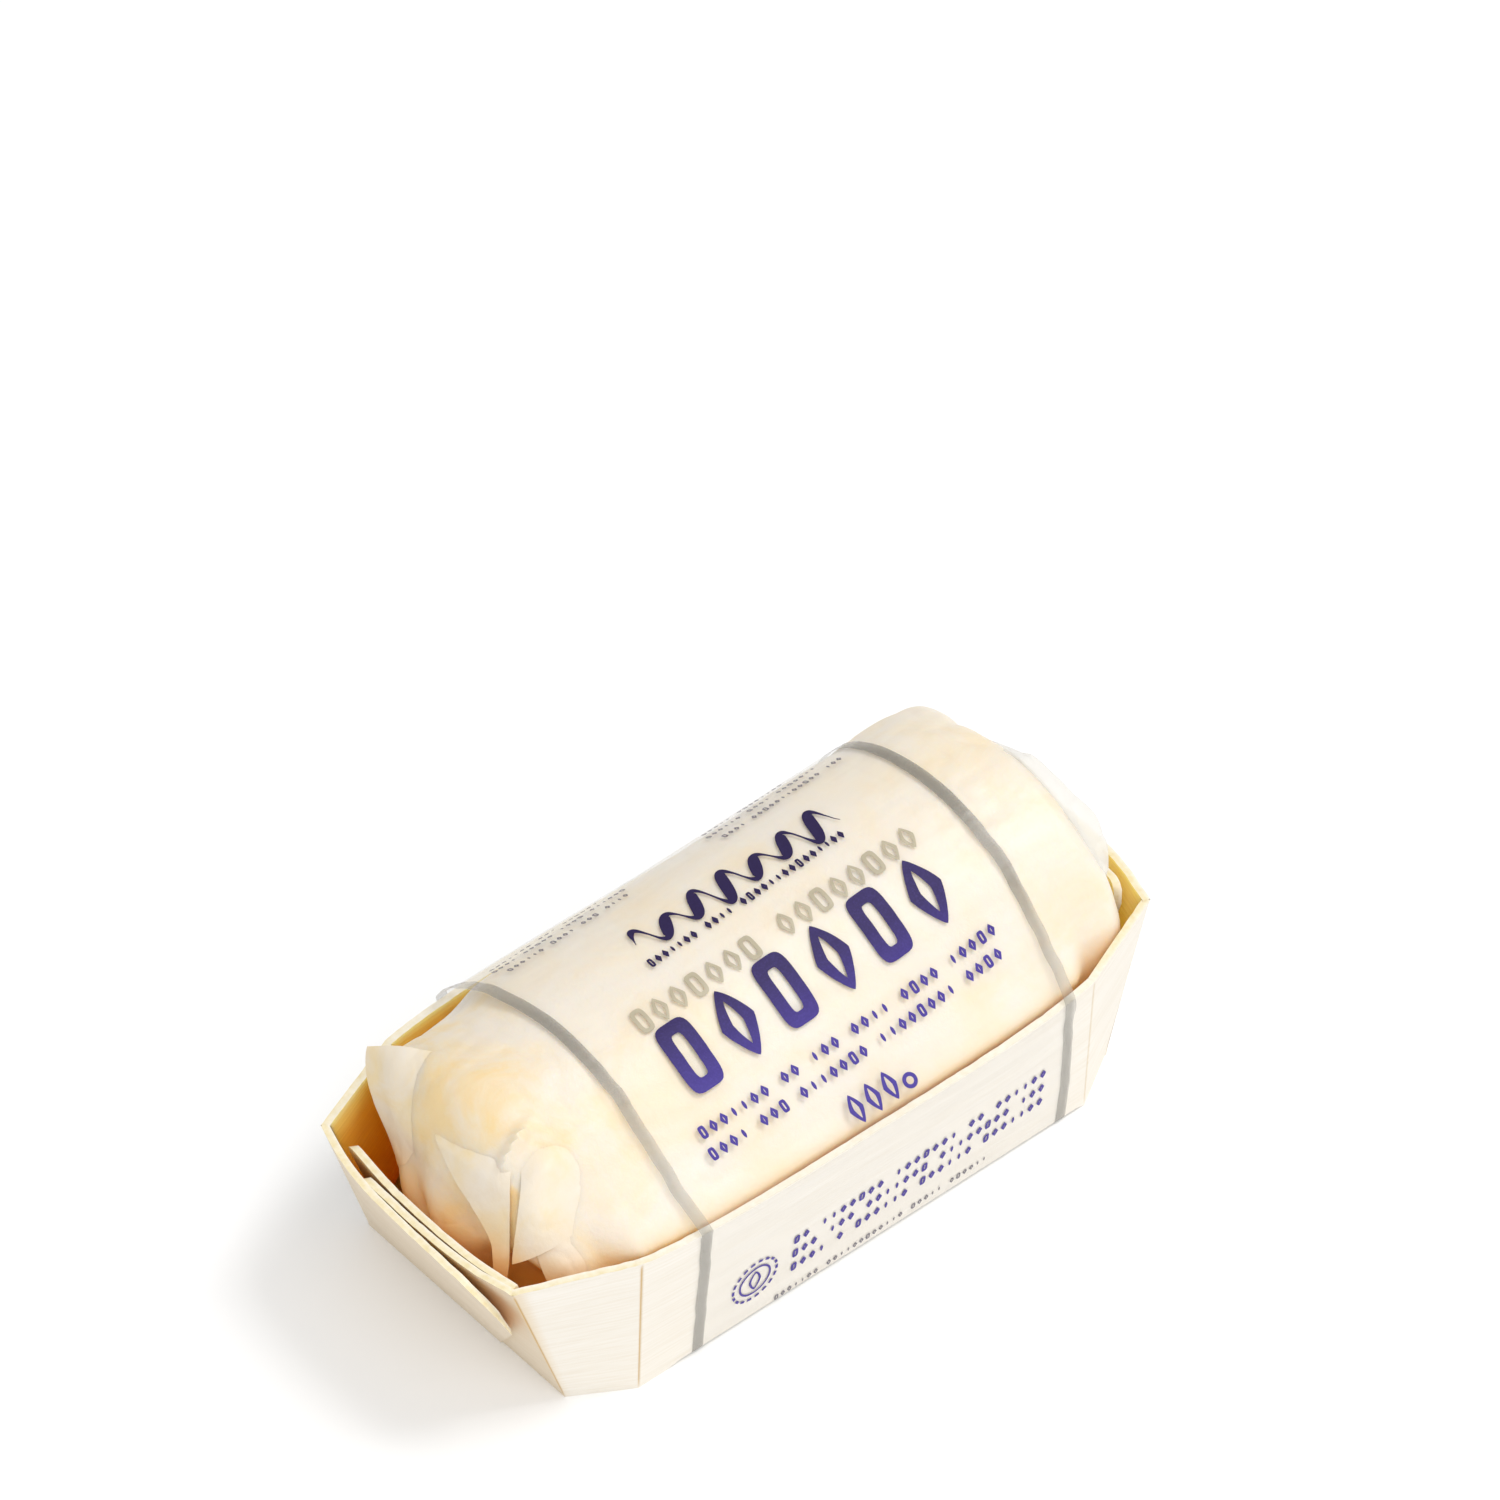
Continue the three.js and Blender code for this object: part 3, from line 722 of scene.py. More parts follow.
def film_point(x, rise, lift=0):
    """A point on the film at x, and at rise millimetres round it from the near rim, raised by lift."""
    x, rise = np.broadcast_arrays(np.asarray(x, float), np.asarray(rise, float))
    spacing = FILM_STATIONS[1] - FILM_STATIONS[0]
    place = np.clip((x - FILM_STATIONS[0]) / spacing, 0, len(FILM_STATIONS) - 1.001)
    i = place.astype(int)
    share = (place - i)[..., None]
    length = np.interp(x, FILM_STATIONS, FILM_LENGTHS)
    spot = (rise / length % 1) * (FILM_SAMPLES - 1)
    j = np.minimum(spot.astype(int), FILM_SAMPLES - 2)
    part = (spot - j)[..., None]
    near = mix(FILM_LOOPS[i, j], FILM_LOOPS[i, j + 1], part)
    far = mix(FILM_LOOPS[i + 1, j], FILM_LOOPS[i + 1, j + 1], part)
    flat = mix(near, far, share)
    before, after = np.maximum(j - 2, 0), np.minimum(j + 3, FILM_SAMPLES - 1)
    along = FILM_LOOPS[i, after] - FILM_LOOPS[i, before]
    out = np.stack([-along[..., 1], along[..., 0]], -1)
    out /= np.linalg.norm(out, axis=-1, keepdims=True)
    flat = flat + out * np.asarray(lift, float)[..., None]
    return np.concatenate([x[..., None], flat], -1)


def film_ends(rise):
    """The x of the film's left and right edges at a distance round it: bowed over the top, a little wavy."""
    turned = (rise + 30) % FILM_LENGTHS.mean() - 30
    left = np.interp(turned, *FILM_LEFT_EDGE.T)
    right = np.interp(turned, *FILM_RIGHT_EDGE.T)
    wobble = 0.12 * noise(np.stack([turned, 0 * turned, 0 * turned], -1), 2.6, 61)
    return left + wobble, right + wobble


def left_line_ends(rise):
    """Both sides of the grey line along the film's left edge."""
    left = film_ends(rise)[0]
    return left, left + EDGE_LINE


def right_line_ends(rise):
    """Both sides of the grey line along the film's right edge."""
    right = film_ends(rise)[1]
    return right - EDGE_LINE, right


def film_ripple(x, rise):
    """Faint lengthwise creases of the tight film: two noises, weaker on the tray than on the roll."""
    spot = np.stack([x * 0.12, rise * 0.55, 0 * x], -1)
    on_roll = ease(0, 6, rise) * ease(104, 98, rise)
    return mix(0.4, 1, on_roll) * (0.05 * noise(spot, 1, 21) + 0.03 * noise(spot * 2.3, 1, 22))


def film_kink(x, rise):
    """How far the cut edges stand proud where the film bends over the near rim, and on the far left slope."""
    from_rim = np.minimum(rise, FILM_LENGTHS.mean() - rise)
    at_left = ease(FILM_LEFT + 5, FILM_LEFT - 1, x)
    at_edge = np.maximum(at_left, ease(FILM_RIGHT - 5, FILM_RIGHT, x))
    over_rim = RIM_KINK * at_edge * np.exp(-((from_rim / 2.2) ** 2))
    return over_rim + SLOPE_KINK * at_left * np.exp(-(((rise - FAR_SLOPE) / 5) ** 2))


def film_sheet(name, material, ends, lift, thickness, columns):
    """A closed loop of film. Ends gives the x of its two sides from the distance round the film."""
    length = FILM_LENGTHS.mean()
    share = np.linspace(0, 1, 501)[None, :-1]
    rise = share * length
    along = np.linspace(0, 1, columns)[:, None]
    x = mix(*ends(rise), along)
    scaled = share * np.interp(x, FILM_STATIONS, FILM_LENGTHS)
    ripple = film_ripple(x, scaled) + film_kink(x, scaled)
    outer = film_point(x, scaled, lift + ripple)
    inner = film_point(x, scaled, lift + ripple - thickness)
    uv = np.stack([x, scaled], -1) * MM
    return slab(name, outer, inner, [material], uv, ring=True)


# Print on the film: plain shapes only, each a thin closed skin of ink


def ink_patch(a, b, ring=False):
    """A skin of ink over grids of x and rise on the film."""
    b = b + PRINT_SLANT * a
    turned = b % FILM_LENGTHS.mean()
    lift = film_ripple(a, turned) + film_kink(a, turned) + INK_LIFT
    return slab_parts(film_point(a, b, lift + INK), film_point(a, b, lift), ring)


def ink_bar(start, end, rise, height):
    """A bar with rounded ends: its half height follows a circle near them."""
    corner = 0.45 * height
    half = (end - start) / 2
    turn = np.linspace(-np.pi / 2, np.pi / 2, max(9, int(half * 3)))
    along = half * np.sin(turn)
    past = np.maximum(0, np.abs(along) - half + corner)
    tall = height / 2 - corner + np.sqrt(np.maximum(corner**2 - past**2, 0))
    across = np.linspace(-1, 1, 3)[:, None]
    return ink_patch((start + end) / 2 + along[None] + 0 * across, rise + across * tall[None])


def ink_ring(x, rise, wide, tall, stroke, power=2.0, fine=64):
    """A ring between a superellipse of the half sizes given and one that is smaller by the stroke."""
    angle = np.linspace(0, 2 * np.pi, fine + 1)[None, :-1]
    cos, sin = np.cos(angle), np.sin(angle)
    reach = (np.abs(cos) ** power + np.abs(sin) ** power) ** (-1 / power)
    inset = stroke * np.linspace(0, 1, 7 if fine > 30 else 3)[:, None]
    return ink_patch(x + (wide - inset) * reach * cos, rise + (tall - inset) * reach * sin, ring=True)


def ink_marks(start, rise, half_height, pitch, groups, stroke):
    """A row of small marks, rounded frames, bars and lozenges, in groups of the counts given.

    The kind of each follows from the square of its place, taken modulo 7 and then 3.
    """
    marks = []
    place = 0
    for count in groups:
        for _ in range(count):
            x = start + place * pitch
            kind = place * place % 7 % 3
            if kind == 0:
                marks.append(ink_ring(x, rise, 0.3 * pitch, half_height, stroke, 4.0, 20))
            elif kind == 1:
                marks.append(ink_ring(x, rise, 0.34 * pitch, half_height, stroke * 1.3, 1.1, 20))
            else:
                marks.append(ink_bar(x - stroke * 0.6, x + stroke * 0.6, rise, 2 * half_height))
            place += 1
        place += 1
    return marks


def ink_wave(start, end, rise, length, height):
    """A wave: a sine line whose height sways, thick going up, thin going down, and pointed at its ends."""
    along = np.linspace(start, end, 300)[None]
    phase = 2 * np.pi * (along - start) / length
    tall = height * (1 + 0.3 * np.cos(phase / 3.1 + 0.6))
    taper = ease(0, 1.5, along - start) * ease(0, 1.5, end - along)
    thick = taper * (0.5 + 0.4 * np.cos(phase)) + 0.05
    across = np.linspace(-1, 1, 5)[:, None]
    slope = tall * np.pi / length * np.cos(phase)
    offset = across * thick / np.sqrt(1 + slope**2)
    return ink_patch(along - offset * slope, rise + tall / 2 * np.sin(phase) + offset)


def ink_piece(name, parts, material):
    """One mesh of all the ink parts given."""
    starts = np.cumsum([0] + [len(points) for points, _, _ in parts])
    points = np.concatenate([part[0] for part in parts])
    faces = np.concatenate([part[1] + start for part, start in zip(parts, starts)])
    return add_mesh(name, points, faces, [material])


def headline_marks():
    """The bold row: six upright marks with slim holes, rounded blocks and lozenges in turn."""
    return [ink_ring(-18.0 + 8.95 * i, 23.9, 2.95, 5.6, 2.0, 1.2 if i % 2 else 5.0) for i in range(6)]


def spaced_marks():
    """The pale row above it: small spaced lozenges and rounded blocks in two groups."""
    places = [-20.5 + 3.36 * i for i in (0, 1, 2, 3, 4, 5, 6, 8, 9, 10, 11, 12, 13, 14, 15)]
    return [ink_ring(x, 31.8, 1.15, 2.0, 0.62, 1.2 if i % 3 else 4.0, 28) for i, x in enumerate(places)]


def flourish_marks():
    """The dark flourish at the top, with one short row under it."""
    return [ink_wave(-12.6, 24.6, 42.5, 5.6, 4.6), *ink_marks(-13.2, 38.5, 0.82, 1.33, (7, 4, 15), 0.34)]


def small_rows():
    """Two rows under the headline and three on the near wall."""
    rows = ink_marks(-23.2, 13.8, 0.98, 1.9, (7, 2, 3, 4, 4, 5), 0.44)
    rows += ink_marks(-23.8, 10.5, 0.98, 1.88, (4, 3, 7, 8, 4), 0.44)
    for rise, groups in ((-13.6, (2, 7, 7, 2, 6)), (-16.7, (3, 3, 7, 8, 3)), (-19.8, (4, 1, 6, 6, 7))):
        rows += ink_marks(-14.2, rise, 0.85, 1.72, groups, 0.4)
    return rows


def rim_marks():
    """The small group on the near rim: three upright lozenges and a small ring."""
    lozenges = [ink_ring(-1.6 + 3.2 * i, 4.4, 1.2, 2.3, 0.75, 1.2, 28) for i in range(3)]
    return lozenges + [ink_ring(7.9, 3.4, 1.2, 1.2, 0.6)]


def round_mark():
    """A plain round mark: short dashes round a ring, with a lozenge inside it."""
    x, rise = ROUND_MARK
    dashes = []
    for turn in np.linspace(0, 2 * np.pi, 19)[:-1]:
        angle = turn + np.linspace(-0.1, 0.1, 4)[None]
        radius = np.linspace(3.75, 4.2, 3)[:, None]
        dashes.append(ink_patch(x + radius * np.cos(angle), rise + radius * np.sin(angle)))
    return dashes + [ink_ring(x, rise, 2.9, 2.9, 0.34), ink_ring(x, rise, 1.1, 2.0, 0.4, 1.4)]


def thin_rows():
    """The grey row along the foot of the near wall, and tiny dark rows on the far side."""
    rows = ink_marks(-16.9, -24.7, 0.55, 1.22, (7, 12, 5, 6), 0.22)
    left_block = ((53.5, -27, (6, 4, 3, 4)), (56.2, -28, (4, 5, 4, 6)), (58.9, -27, (7, 3, 6)))
    right_block = ((52.0, 12, (4, 12, 3)), (54.8, 11, (6, 4, 7)), (57.6, 12, (5, 8)))
    for rise, start, groups in left_block + right_block:
        rows += ink_marks(start, rise, 0.62, 1.12, groups, 0.24)
    return rows


# Materials


def colour(hex_code):
    """An sRGB hex colour as the linear numbers that shaders take."""
    parts = [int(hex_code[i : i + 2], 16) / 255 for i in (1, 3, 5)]
    return [p / 12.92 if p <= 0.04045 else ((p + 0.055) / 1.055) ** 2.4 for p in parts] + [1]


def add_node(tree, kind, settings=None, links=None):
    """Adds a node, sets its properties and inputs by name, and links inputs from other nodes' outputs."""
    node = tree.nodes.new(kind)
    for key, value in (settings or {}).items():
        if isinstance(key, int) or key in node.inputs:
            node.inputs[key].default_value = value
        else:
            setattr(node, key, value)
    for key, source in (links or {}).items():
        tree.links.new(source, node.inputs[key])
    return node


def new_material(name):
    """A material with an empty node tree, and that tree to fill."""
    material = bpy.data.materials.new(name)
    material.use_nodes = True
    material.node_tree.nodes.clear()
    return material, material.node_tree


def with_surface(material, shader):
    """The material, once the shader node given is its surface."""
    add_node(material.node_tree, "ShaderNodeOutputMaterial", links={"Surface": shader.outputs[0]})
    return material


def feed(tree, socket, value):
    """Gives a socket a hex colour or a number, or links an output to it."""
    if isinstance(value, str):
        socket.default_value = colour(value)
    elif isinstance(value, (int, float)):
        socket.default_value = value
    else:
        tree.links.new(value, socket)


def see_through(tree, share, solid):
    """A shader that lets light straight through, but for the share that the solid shader takes."""
    clear = add_node(tree, "ShaderNodeBsdfTransparent")
    mixed = add_node(tree, "ShaderNodeMixShader", links={1: clear.outputs[0], 2: solid.outputs[0]})
    feed(tree, mixed.inputs[0], share)
    return mixed


def colour_ramp(tree, source, stops):
    """A ramp of hex colours at the places given, read by a 0 to 1 value."""
    node = add_node(tree, "ShaderNodeValToRGB", links={"Fac": source})
    ramp = node.color_ramp
    while len(ramp.elements) < len(stops):
        ramp.elements.new(0.5)
    for element, (place, hex_code) in zip(ramp.elements, stops):
        element.position = place
        element.color = colour(hex_code)
    return node.outputs["Color"]


def blend_colours(tree, share, first, second, how="MIX"):
    """A mix of two colours, each a hex colour or an output, by a share that is a number or an output."""
    node = add_node(tree, "ShaderNodeMix", {"data_type": "RGBA", "blend_type": how})
    for place, value in ((0, share), (6, first), (7, second)):
        feed(tree, node.inputs[place], value)
    return node.outputs[2]


def mapped_share(tree, source, low, high, least=0.0, most=1.0):
    """A number that runs from least to most as the source runs from low to high."""
    settings = {"From Min": low, "From Max": high, "To Min": least, "To Max": most}
    return add_node(tree, "ShaderNodeMapRange", settings, {"Value": source}).outputs["Result"]


def object_place(tree):
    """Places on the piece in metres, as Object coordinates."""
    return add_node(tree, "ShaderNodeTexCoord").outputs["Object"]


def object_height(tree):
    """Height over the table in metres."""
    return add_node(tree, "ShaderNodeSeparateXYZ", links={0: object_place(tree)}).outputs["Z"]


def sheet_place(tree):
    """Places on the piece's own sheet in metres, along it and across it."""
    return add_node(tree, "ShaderNodeUVMap", {"uv_map": "sheet"}).outputs["UV"]


def pattern(tree, coordinates, scale, detail=4, roughness=0.55, distortion=0):
    """Noise whose lumps are set by a scale in lumps per metre along each axis, as a 0 to 1 value."""
    mapping = add_node(tree, "ShaderNodeMapping", {"Scale": scale}, {"Vector": coordinates})
    settings = {"Scale": 1, "Detail": detail, "Roughness": roughness, "Distortion": distortion}
    return add_node(tree, "ShaderNodeTexNoise", settings, {"Vector": mapping.outputs[0]}).outputs["Fac"]


def bump(tree, height, distance, strength=1):
    """A bump whose full height is the distance given in metres."""
    settings = {"Distance": distance, "Strength": strength}
    return add_node(tree, "ShaderNodeBump", settings, {"Height": height}).outputs["Normal"]


def read_attribute(tree, name):
    return add_node(tree, "ShaderNodeAttribute", {"attribute_name": name}).outputs["Fac"]


def veneer_fibres(tree):
    """Fibres of peeled poplar along the sheet, about 0.4 mm apart and 11 mm long."""
    return pattern(tree, sheet_place(tree), (90, 2600, 1), 5, 0.6)


def veneer_face():
    """Peeled poplar veneer, uncoated: pale cream, matt, with faint straight grain and tan scored folds, and a
    painted shade that tints the left end's faces darker.
    """
    material, tree = new_material("peeled_poplar_veneer")
    fibres = veneer_fibres(tree)
    # Growth bands about 4 mm apart and 70 mm long.
    bands = pattern(tree, sheet_place(tree), (14, 240, 1), 3, 0.5, 0.4)
    ground = colour_ramp(tree, bands, [(0.3, "#EAE4D9"), (0.7, "#EEE9E0")])
    lines = colour_ramp(tree, fibres, [(0.35, "#F0E9DC"), (0.6, "#FFFFFF")])
    wood = blend_colours(tree, 0.35, ground, lines, "MULTIPLY")
    # Painted shade: a darker tint on the left end's faces.
    painted_end_shade = colour_ramp(tree, read_attribute(tree, "painted_end_shading"), [(0.5, "#FFFFFF"), (1, "#F6ECDD")])
    wood = blend_colours(tree, 1.0, wood, painted_end_shade, "MULTIPLY")
    wood = blend_colours(tree, read_attribute(tree, "score"), wood, "#BF9648")
    normal = bump(tree, fibres, 0.00005, 0.6)
    shader = add_node(tree, "ShaderNodeBsdfPrincipled", {"Roughness": 0.62, "IOR": 1.45},
                      {"Base Color": wood, "Normal": normal})
    return with_surface(material, shader)


def veneer_inside():
    """The same veneer inside the tray, with a painted glow of light through the wood: pale honey at the rim,
    orange below and darkest at the base as painted shade, and lighter inside the right end.
    """
    material, tree = new_material("peeled_poplar_veneer_inside")
    fibres = veneer_fibres(tree)
    # Painted glow and shade, by depth below the rim.
    painted_glow_by_depth = [(0, "#F4DFAE"), (0.06, "#F8CC78"), (0.2, "#FDBA50"), (0.5, "#FFB040"), (1, "#F09A30")]
    glow = colour_ramp(tree, read_attribute(tree, "depth"), painted_glow_by_depth)
    lines = colour_ramp(tree, fibres, [(0.35, "#DCC7A0"), (0.65, "#FFFFFF")])
    # Painted glow: lighter inside the right end.
    glow = blend_colours(tree, read_attribute(tree, "painted_end_shading"), glow, "#FFD28C")
    wood = blend_colours(tree, 0.35, glow, lines, "MULTIPLY")
    normal = bump(tree, fibres, 0.00006, 0.6)
    settings = {"Roughness": 0.6, "IOR": 1.45, "Subsurface Weight": 1.0, "Subsurface Scale": 0.004,
                "Subsurface Radius": (1, 0.85, 0.45)}
    shader = add_node(tree, "ShaderNodeBsdfPrincipled", settings, {"Base Color": wood, "Normal": normal})
    return with_surface(material, shader)


def veneer_cut():
    """Knife-cut edge of the veneer: fine end grain, with a painted glow that makes it yellower at the left
    end, and paler elsewhere.
    """
    material, tree = new_material("cut_poplar_edge")
    grain = pattern(tree, object_place(tree), (900, 900, 2500), 4)
    yellow = colour_ramp(tree, grain, [(0.3, "#E6D6A6"), (0.7, "#F0E6CA")])
    pale = colour_ramp(tree, grain, [(0.3, "#EDE4CE"), (0.7, "#F4EEE0")])
    # Painted glow: yellower cut at the left end.
    share = colour_ramp(tree, read_attribute(tree, "painted_end_shading"), [(0, "#000000"), (0.5, "#FFFFFF")])
    wood = blend_colours(tree, share, pale, yellow)
    shader = add_node(tree, "ShaderNodeBsdfPrincipled", {"Roughness": 0.7, "IOR": 1.45},
                      {"Base Color": wood, "Normal": bump(tree, grain, 0.0001, 0.5)})
    return with_surface(material, shader)


def parchment_crinkle(tree):
    """Fine crinkles of handled parchment, about 2.4 mm apart."""
    return pattern(tree, object_place(tree), (420, 420, 420), 6, 0.6, 0.2)


def butter_parchment(name, tones, bare, depth):
    """Vegetable parchment on butter: satin, translucent, yellow where the butter wets it, white where not.

    The wet patches are about 13 mm across, with streaks 6 mm apart and 40 mm long. Where the paper lies
    on the butter, light goes deep into it: depth is the share that does. Below the tray's rim it takes a
    painted warm glow and shade.
    """
    material, tree = new_material(name)
    patches = pattern(tree, object_place(tree), (75, 75, 75), 5, 0.62, 0.6)
    streaks = pattern(tree, object_place(tree), (25, 160, 160), 4, 0.6, 0.3)
    paper = colour_ramp(tree, patches, tones)
    paper = blend_colours(tree, read_attribute(tree, "butter"), bare, paper)
    streaks = colour_ramp(tree, streaks, [(0.3, "#F1E8DC"), (0.7, "#FFFFFF")])
    paper = blend_colours(tree, 0.35, paper, streaks, "MULTIPLY")
    # Painted glow and shade: warmer and more orange below the tray's rim and along the left end's pleat.
    painted_glow_share = read_attribute(tree, "painted_glow_share")
    glow = colour_ramp(tree, painted_glow_share, [(0.1, "#FFE9CC"), (0.5, "#FFDB9E"), (1, "#FFC362")])
    paper = blend_colours(tree, painted_glow_share, paper, glow)
    settings = {"Roughness": 0.42, "IOR": 1.47, "Subsurface Weight": depth, "Subsurface Scale": 0.004,
                "Subsurface Radius": (1, 0.75, 0.45)}
    shader = add_node(tree, "ShaderNodeBsdfPrincipled", settings,
                      {"Base Color": paper, "Normal": bump(tree, parchment_crinkle(tree), 0.00022, 0.6)})
    return with_surface(material, shader)


def bare_parchment():
    """Vegetable parchment with nothing behind it: white, satin, a little see-through and crinkled."""
    material, tree = new_material("bare_vegetable_parchment")
    solid = add_node(tree, "ShaderNodeBsdfPrincipled",
                     {"Base Color": colour("#ECE9E2"), "Roughness": 0.4, "IOR": 1.47},
                     {"Normal": bump(tree, parchment_crinkle(tree), 0.00015, 0.5)})
    return with_surface(material, see_through(tree, 0.55, solid))


def clear_film():
    """Biaxially stretched polypropylene film: clear, with a thin haze and a mirror-like shine at a slant.

    The haze lies in streaks along the film, about 4.5 mm apart and 50 mm long.
    """
    material, tree = new_material("clear_polypropylene_film")
    haze = pattern(tree, sheet_place(tree), (20, 220, 1), 4, 0.55, 0.3)
    amount = mapped_share(tree, haze, 0.3, 0.75, 0.01, 0.06)
    slant = add_node(tree, "ShaderNodeLayerWeight", {"Blend": 0.25}).outputs["Facing"]
    slant = add_node(tree, "ShaderNodeMath", {"operation": "MULTIPLY", 1: 0.22}, {0: slant}).outputs[0]
    amount = add_node(tree, "ShaderNodeMath", {"operation": "ADD"}, {0: amount, 1: slant}).outputs[0]
    solid = add_node(tree, "ShaderNodeBsdfPrincipled",
                     {"Base Color": colour("#F6F4F0"), "Roughness": 0.16, "IOR": 1.5})
    return with_surface(material, see_through(tree, amount, solid))


def edge_ink():
    """Grey gravure ink along the film's edges: see-through, with a painted reflection that thins it lower
    down towards the near rim, so it is denser over the top.
    """
    material, tree = new_material("grey_gravure_ink_on_film")
    # Painted reflection: the share of ink falls lower down the film.
    share = mapped_share(tree, object_height(tree), 34 * MM, 43.5 * MM, 0.2, 0.5)
    solid = add_node(tree, "ShaderNodeBsdfPrincipled",
                     {"Base Color": colour("#979389"), "Roughness": 0.3, "IOR": 1.5})
    return with_surface(material, see_through(tree, share, solid))


def gravure_ink(name, low, high, grain):
    """Gravure ink on film: dots of a screen 0.3 mm apart show as grain, and the film gives a soft gloss.

    The colour goes from low to high with height, a painted shading: darker on the curved top and lighter
    lower down.
    """
    material, tree = new_material(name)
    # Painted shading by height.
    body = blend_colours(tree, mapped_share(tree, object_height(tree), 34 * MM, 39.5 * MM), low, high)
    screen = pattern(tree, object_place(tree), (3300, 3300, 3300), 2, 0.7)
    speckle = colour_ramp(tree, screen, [(0.45, "#000000"), (0.75, grain)])
    ink = blend_colours(tree, 1.0, body, speckle, "ADD")
    shader = add_node(tree, "ShaderNodeBsdfPrincipled", {"Roughness": 0.5, "IOR": 1.3}, {"Base Color": ink})
    return with_surface(material, shader)


def thin_ink(name, body, share):
    """A pale or fine gravure ink, satin, that lets some of the pack show through."""
    material, tree = new_material(name)
    solid = add_node(tree, "ShaderNodeBsdfPrincipled", {"Base Color": colour(body), "Roughness": 0.4})
    return with_surface(material, see_through(tree, share, solid))


def white_floor():
    """A sheet of white photographic paper: matt and even."""
    material, tree = new_material("white_background_paper")
    shader = add_node(tree, "ShaderNodeBsdfPrincipled", {"Base Color": colour("#FDFDFD"), "Roughness": 0.9})
    return with_surface(material, shader)


# The pieces


def dress(piece, node):
    """Puts a piece on the one body, in place of the solid of a node, which it hides."""
    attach(piece, "root")
    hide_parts(node)


veneer = [veneer_face(), veneer_inside(), veneer_cut()]
for side, turn, seed in (("near", False, 41), ("far", True, 31)):
    dress(veneer_sheet(f"tray_wall_{side}", *wall_strip(), veneer, seed, turn), "wood_tray")
for side, turn, seed in (("left", False, 61), ("right", True, 51)):
    dress(inmost_sheet(f"tray_inner_flap_{side}", veneer, seed, turn), "wood_tray")
dress(base_sheet("tray_base", veneer), "wood_tray")

parchment = butter_parchment(
    "vegetable_parchment_on_butter", [(0.36, "#E9DFD0"), (0.5, "#EBDDC4"), (0.66, "#EDD4A2")], "#EBE6DC", 0.35
)
folded = butter_parchment(
    "folded_vegetable_parchment", [(0.36, "#E9E0D2"), (0.5, "#EADDC6"), (0.66, "#EBD6A8")], "#E8E0D2", 0
)
dress(wrapped_roll("parchment_wrap", parchment), "wrapped_roll")
for end, side in ((-1, "left"), (1, "right")):
    for leaf in end_leaves(end, folded, side):
        dress(leaf, "wrapped_roll")
dress(paper_collar(bare_parchment()), "wrapped_roll")

film = film_sheet("film_sleeve_sheet", clear_film(), film_ends, 0, FILM_THICKNESS, 70)
dress(film, "film_sleeve")
grey_line = edge_ink()
for side, ends in (("left", left_line_ends), ("right", right_line_ends)):
    line = film_sheet(f"film_edge_line_{side}", grey_line, ends, EDGE_LINE_LIFT, EDGE_LINE_THICKNESS, 4)
    dress(line, "film_sleeve")

purple = gravure_ink("violet_gravure_ink", "#46388E", "#2D2056", "#221C44")
indigo = gravure_ink("indigo_gravure_ink", "#2E2158", "#261A45", "#14102A")
taupe = thin_ink("taupe_gravure_ink", "#BDB399", 0.75)
grey = thin_ink("grey_line_ink", "#77717C", 0.7)
for name, marks, material in (
    ("print_headline", headline_marks(), purple),
    ("print_spaced_row", spaced_marks(), taupe),
    ("print_flourish", flourish_marks(), indigo),
    ("print_small_rows", small_rows(), purple),
    ("print_rim_group", rim_marks(), purple),
    ("print_round_mark", round_mark(), purple),
    ("print_thin_rows", thin_rows(), grey),
):
    dress(ink_piece(name, marks, material), "film_sleeve")


# Floor, light and camera

FLOOR_HALF = 4.0
CAMERA_AZIMUTH = np.radians(-40.53)
CAMERA_ELEVATION = np.radians(43.83)
CAMERA_DISTANCE = 1.2
CAMERA_LENS = 199.9
CAMERA_ASIDE = 1.25 * MM
CAMERA_RISE = 56.03 * MM
WORLD_STRENGTH = 0.64

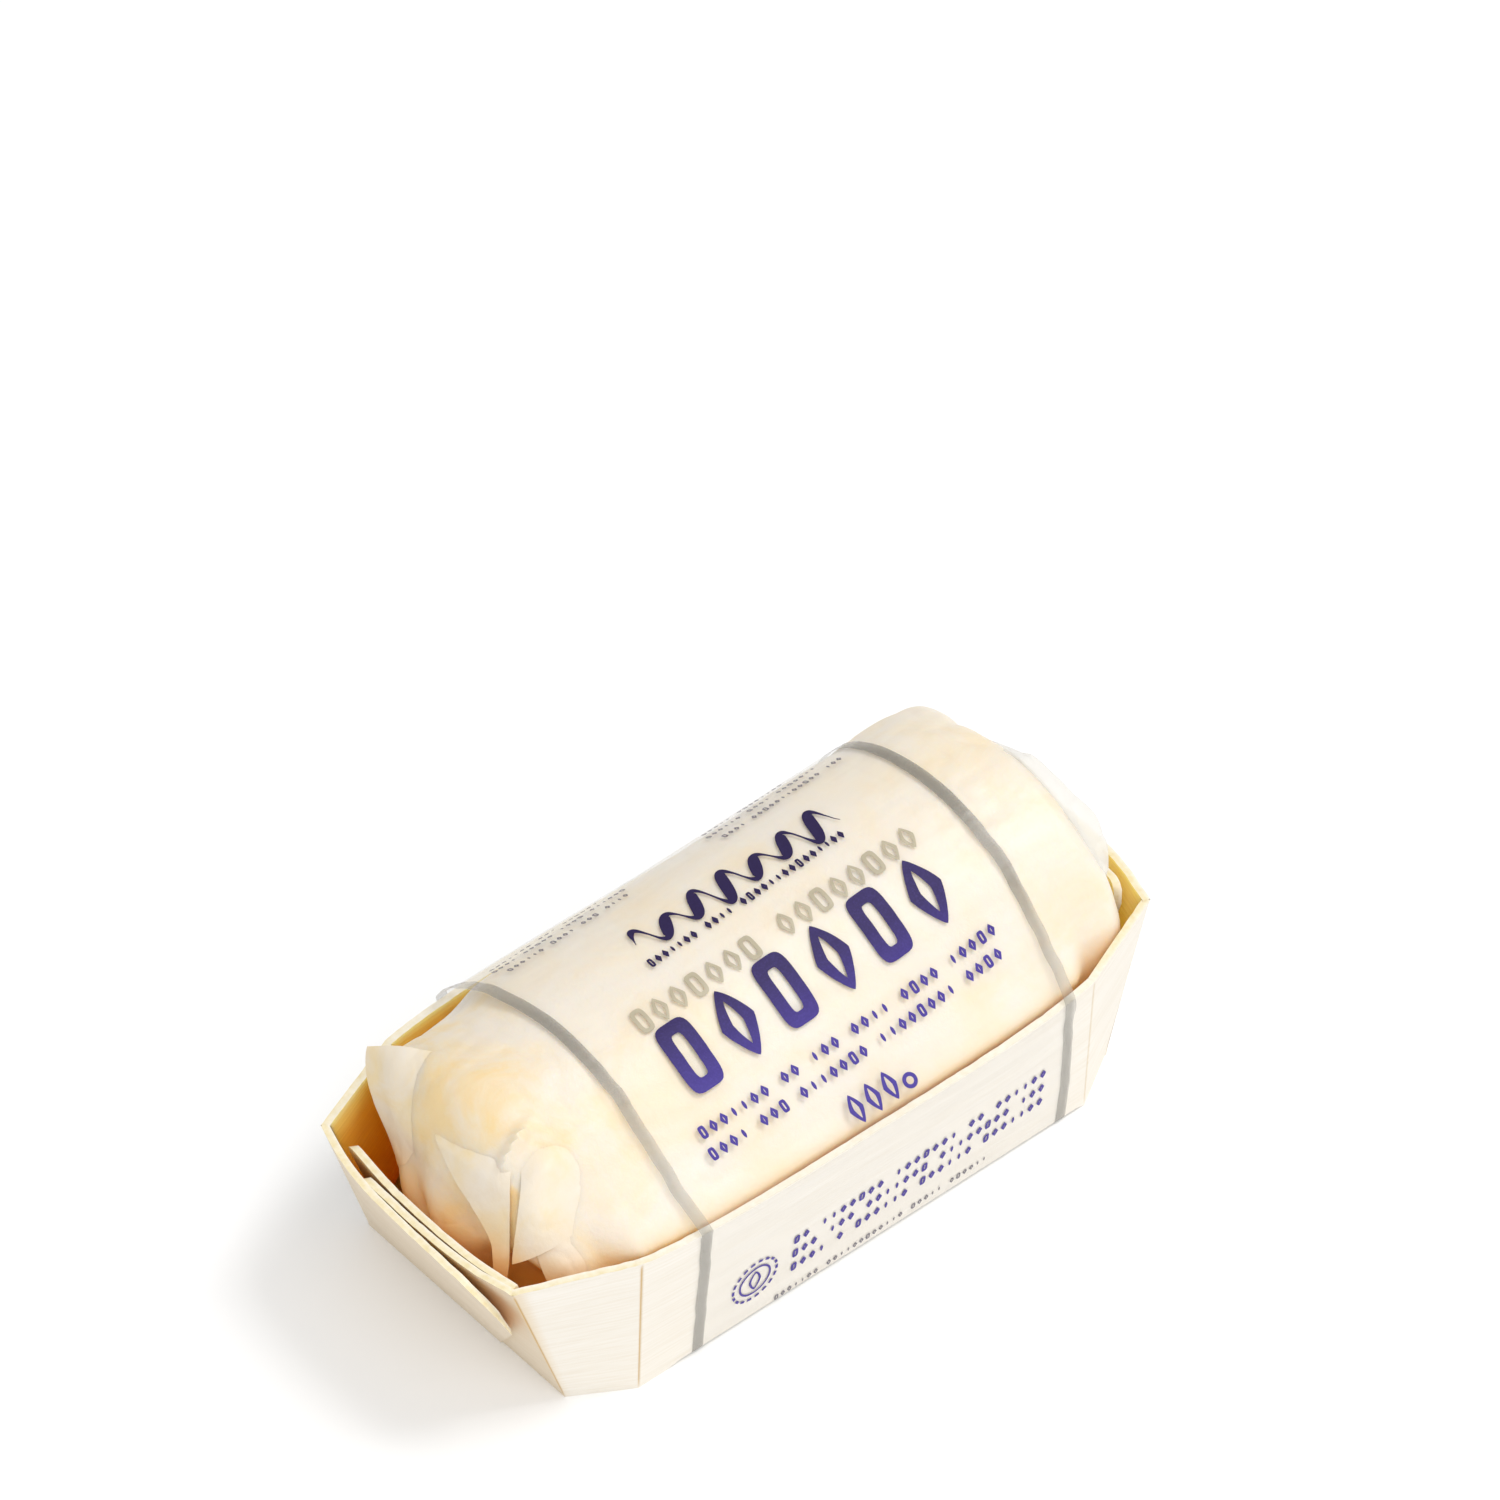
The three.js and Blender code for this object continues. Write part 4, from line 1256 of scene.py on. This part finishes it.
corners = np.array([(-1, -1, 0), (1, -1, 0), (1, 1, 0), (-1, 1, 0)]) * FLOOR_HALF / MM
floor = add_mesh("floor", corners, [(0, 1, 2, 3)], [white_floor()])

world = bpy.data.worlds.new("white_studio")
world.use_nodes = True
world.node_tree.nodes["Background"].inputs["Color"].default_value = (1, 1, 1, 1)
world.node_tree.nodes["Background"].inputs["Strength"].default_value = WORLD_STRENGTH
bpy.context.scene.world = world


def area_light(name, place, size, power):
    """A square white softbox that faces the middle of the pack's base."""
    data = bpy.data.lights.new(name, "AREA")
    data.size = size
    data.energy = power
    lamp = bpy.data.objects.new(name, data)
    place = np.array(place, float)
    facing = -place / np.linalg.norm(place)
    across = np.cross(facing, (0, 0, 1))
    across /= np.linalg.norm(across)
    above = np.cross(across, facing)
    turn = np.stack([across, above, -facing], 1)
    lamp.matrix_world = Matrix.Translation(place.tolist()) @ Matrix(turn.tolist()).to_4x4()
    bpy.context.scene.collection.objects.link(lamp)


area_light("key_softbox", (0.58, -0.25, 1.08), 0.5, 6.1)
area_light("front_fill_softbox", (-0.5, -1.12, 1.04), 1.5, 10.3)


def photo_camera():
    """The photo's camera: fitted to the tray's corners, level, without shift or depth of field."""
    sin, cos = np.sin(CAMERA_AZIMUTH), np.cos(CAMERA_AZIMUTH)
    level = np.cos(CAMERA_ELEVATION)
    back = np.array([sin * level, -cos * level, np.sin(CAMERA_ELEVATION)])
    right = np.array([cos, sin, 0])
    up = np.cross(back, right)
    data = bpy.data.cameras.new("photo_camera")
    data.lens = CAMERA_LENS
    data.sensor_width = 36
    data.clip_end = 50
    camera = bpy.data.objects.new("photo_camera", data)
    place = back * CAMERA_DISTANCE + right * CAMERA_ASIDE + up * CAMERA_RISE
    turn = np.stack([right, up, back], 1)
    camera.matrix_world = Matrix.Translation(place.tolist()) @ Matrix(turn.tolist()).to_4x4()
    bpy.context.scene.collection.objects.link(camera)
    bpy.context.scene.camera = camera


photo_camera()
bpy.context.scene.view_settings.view_transform = "Standard"
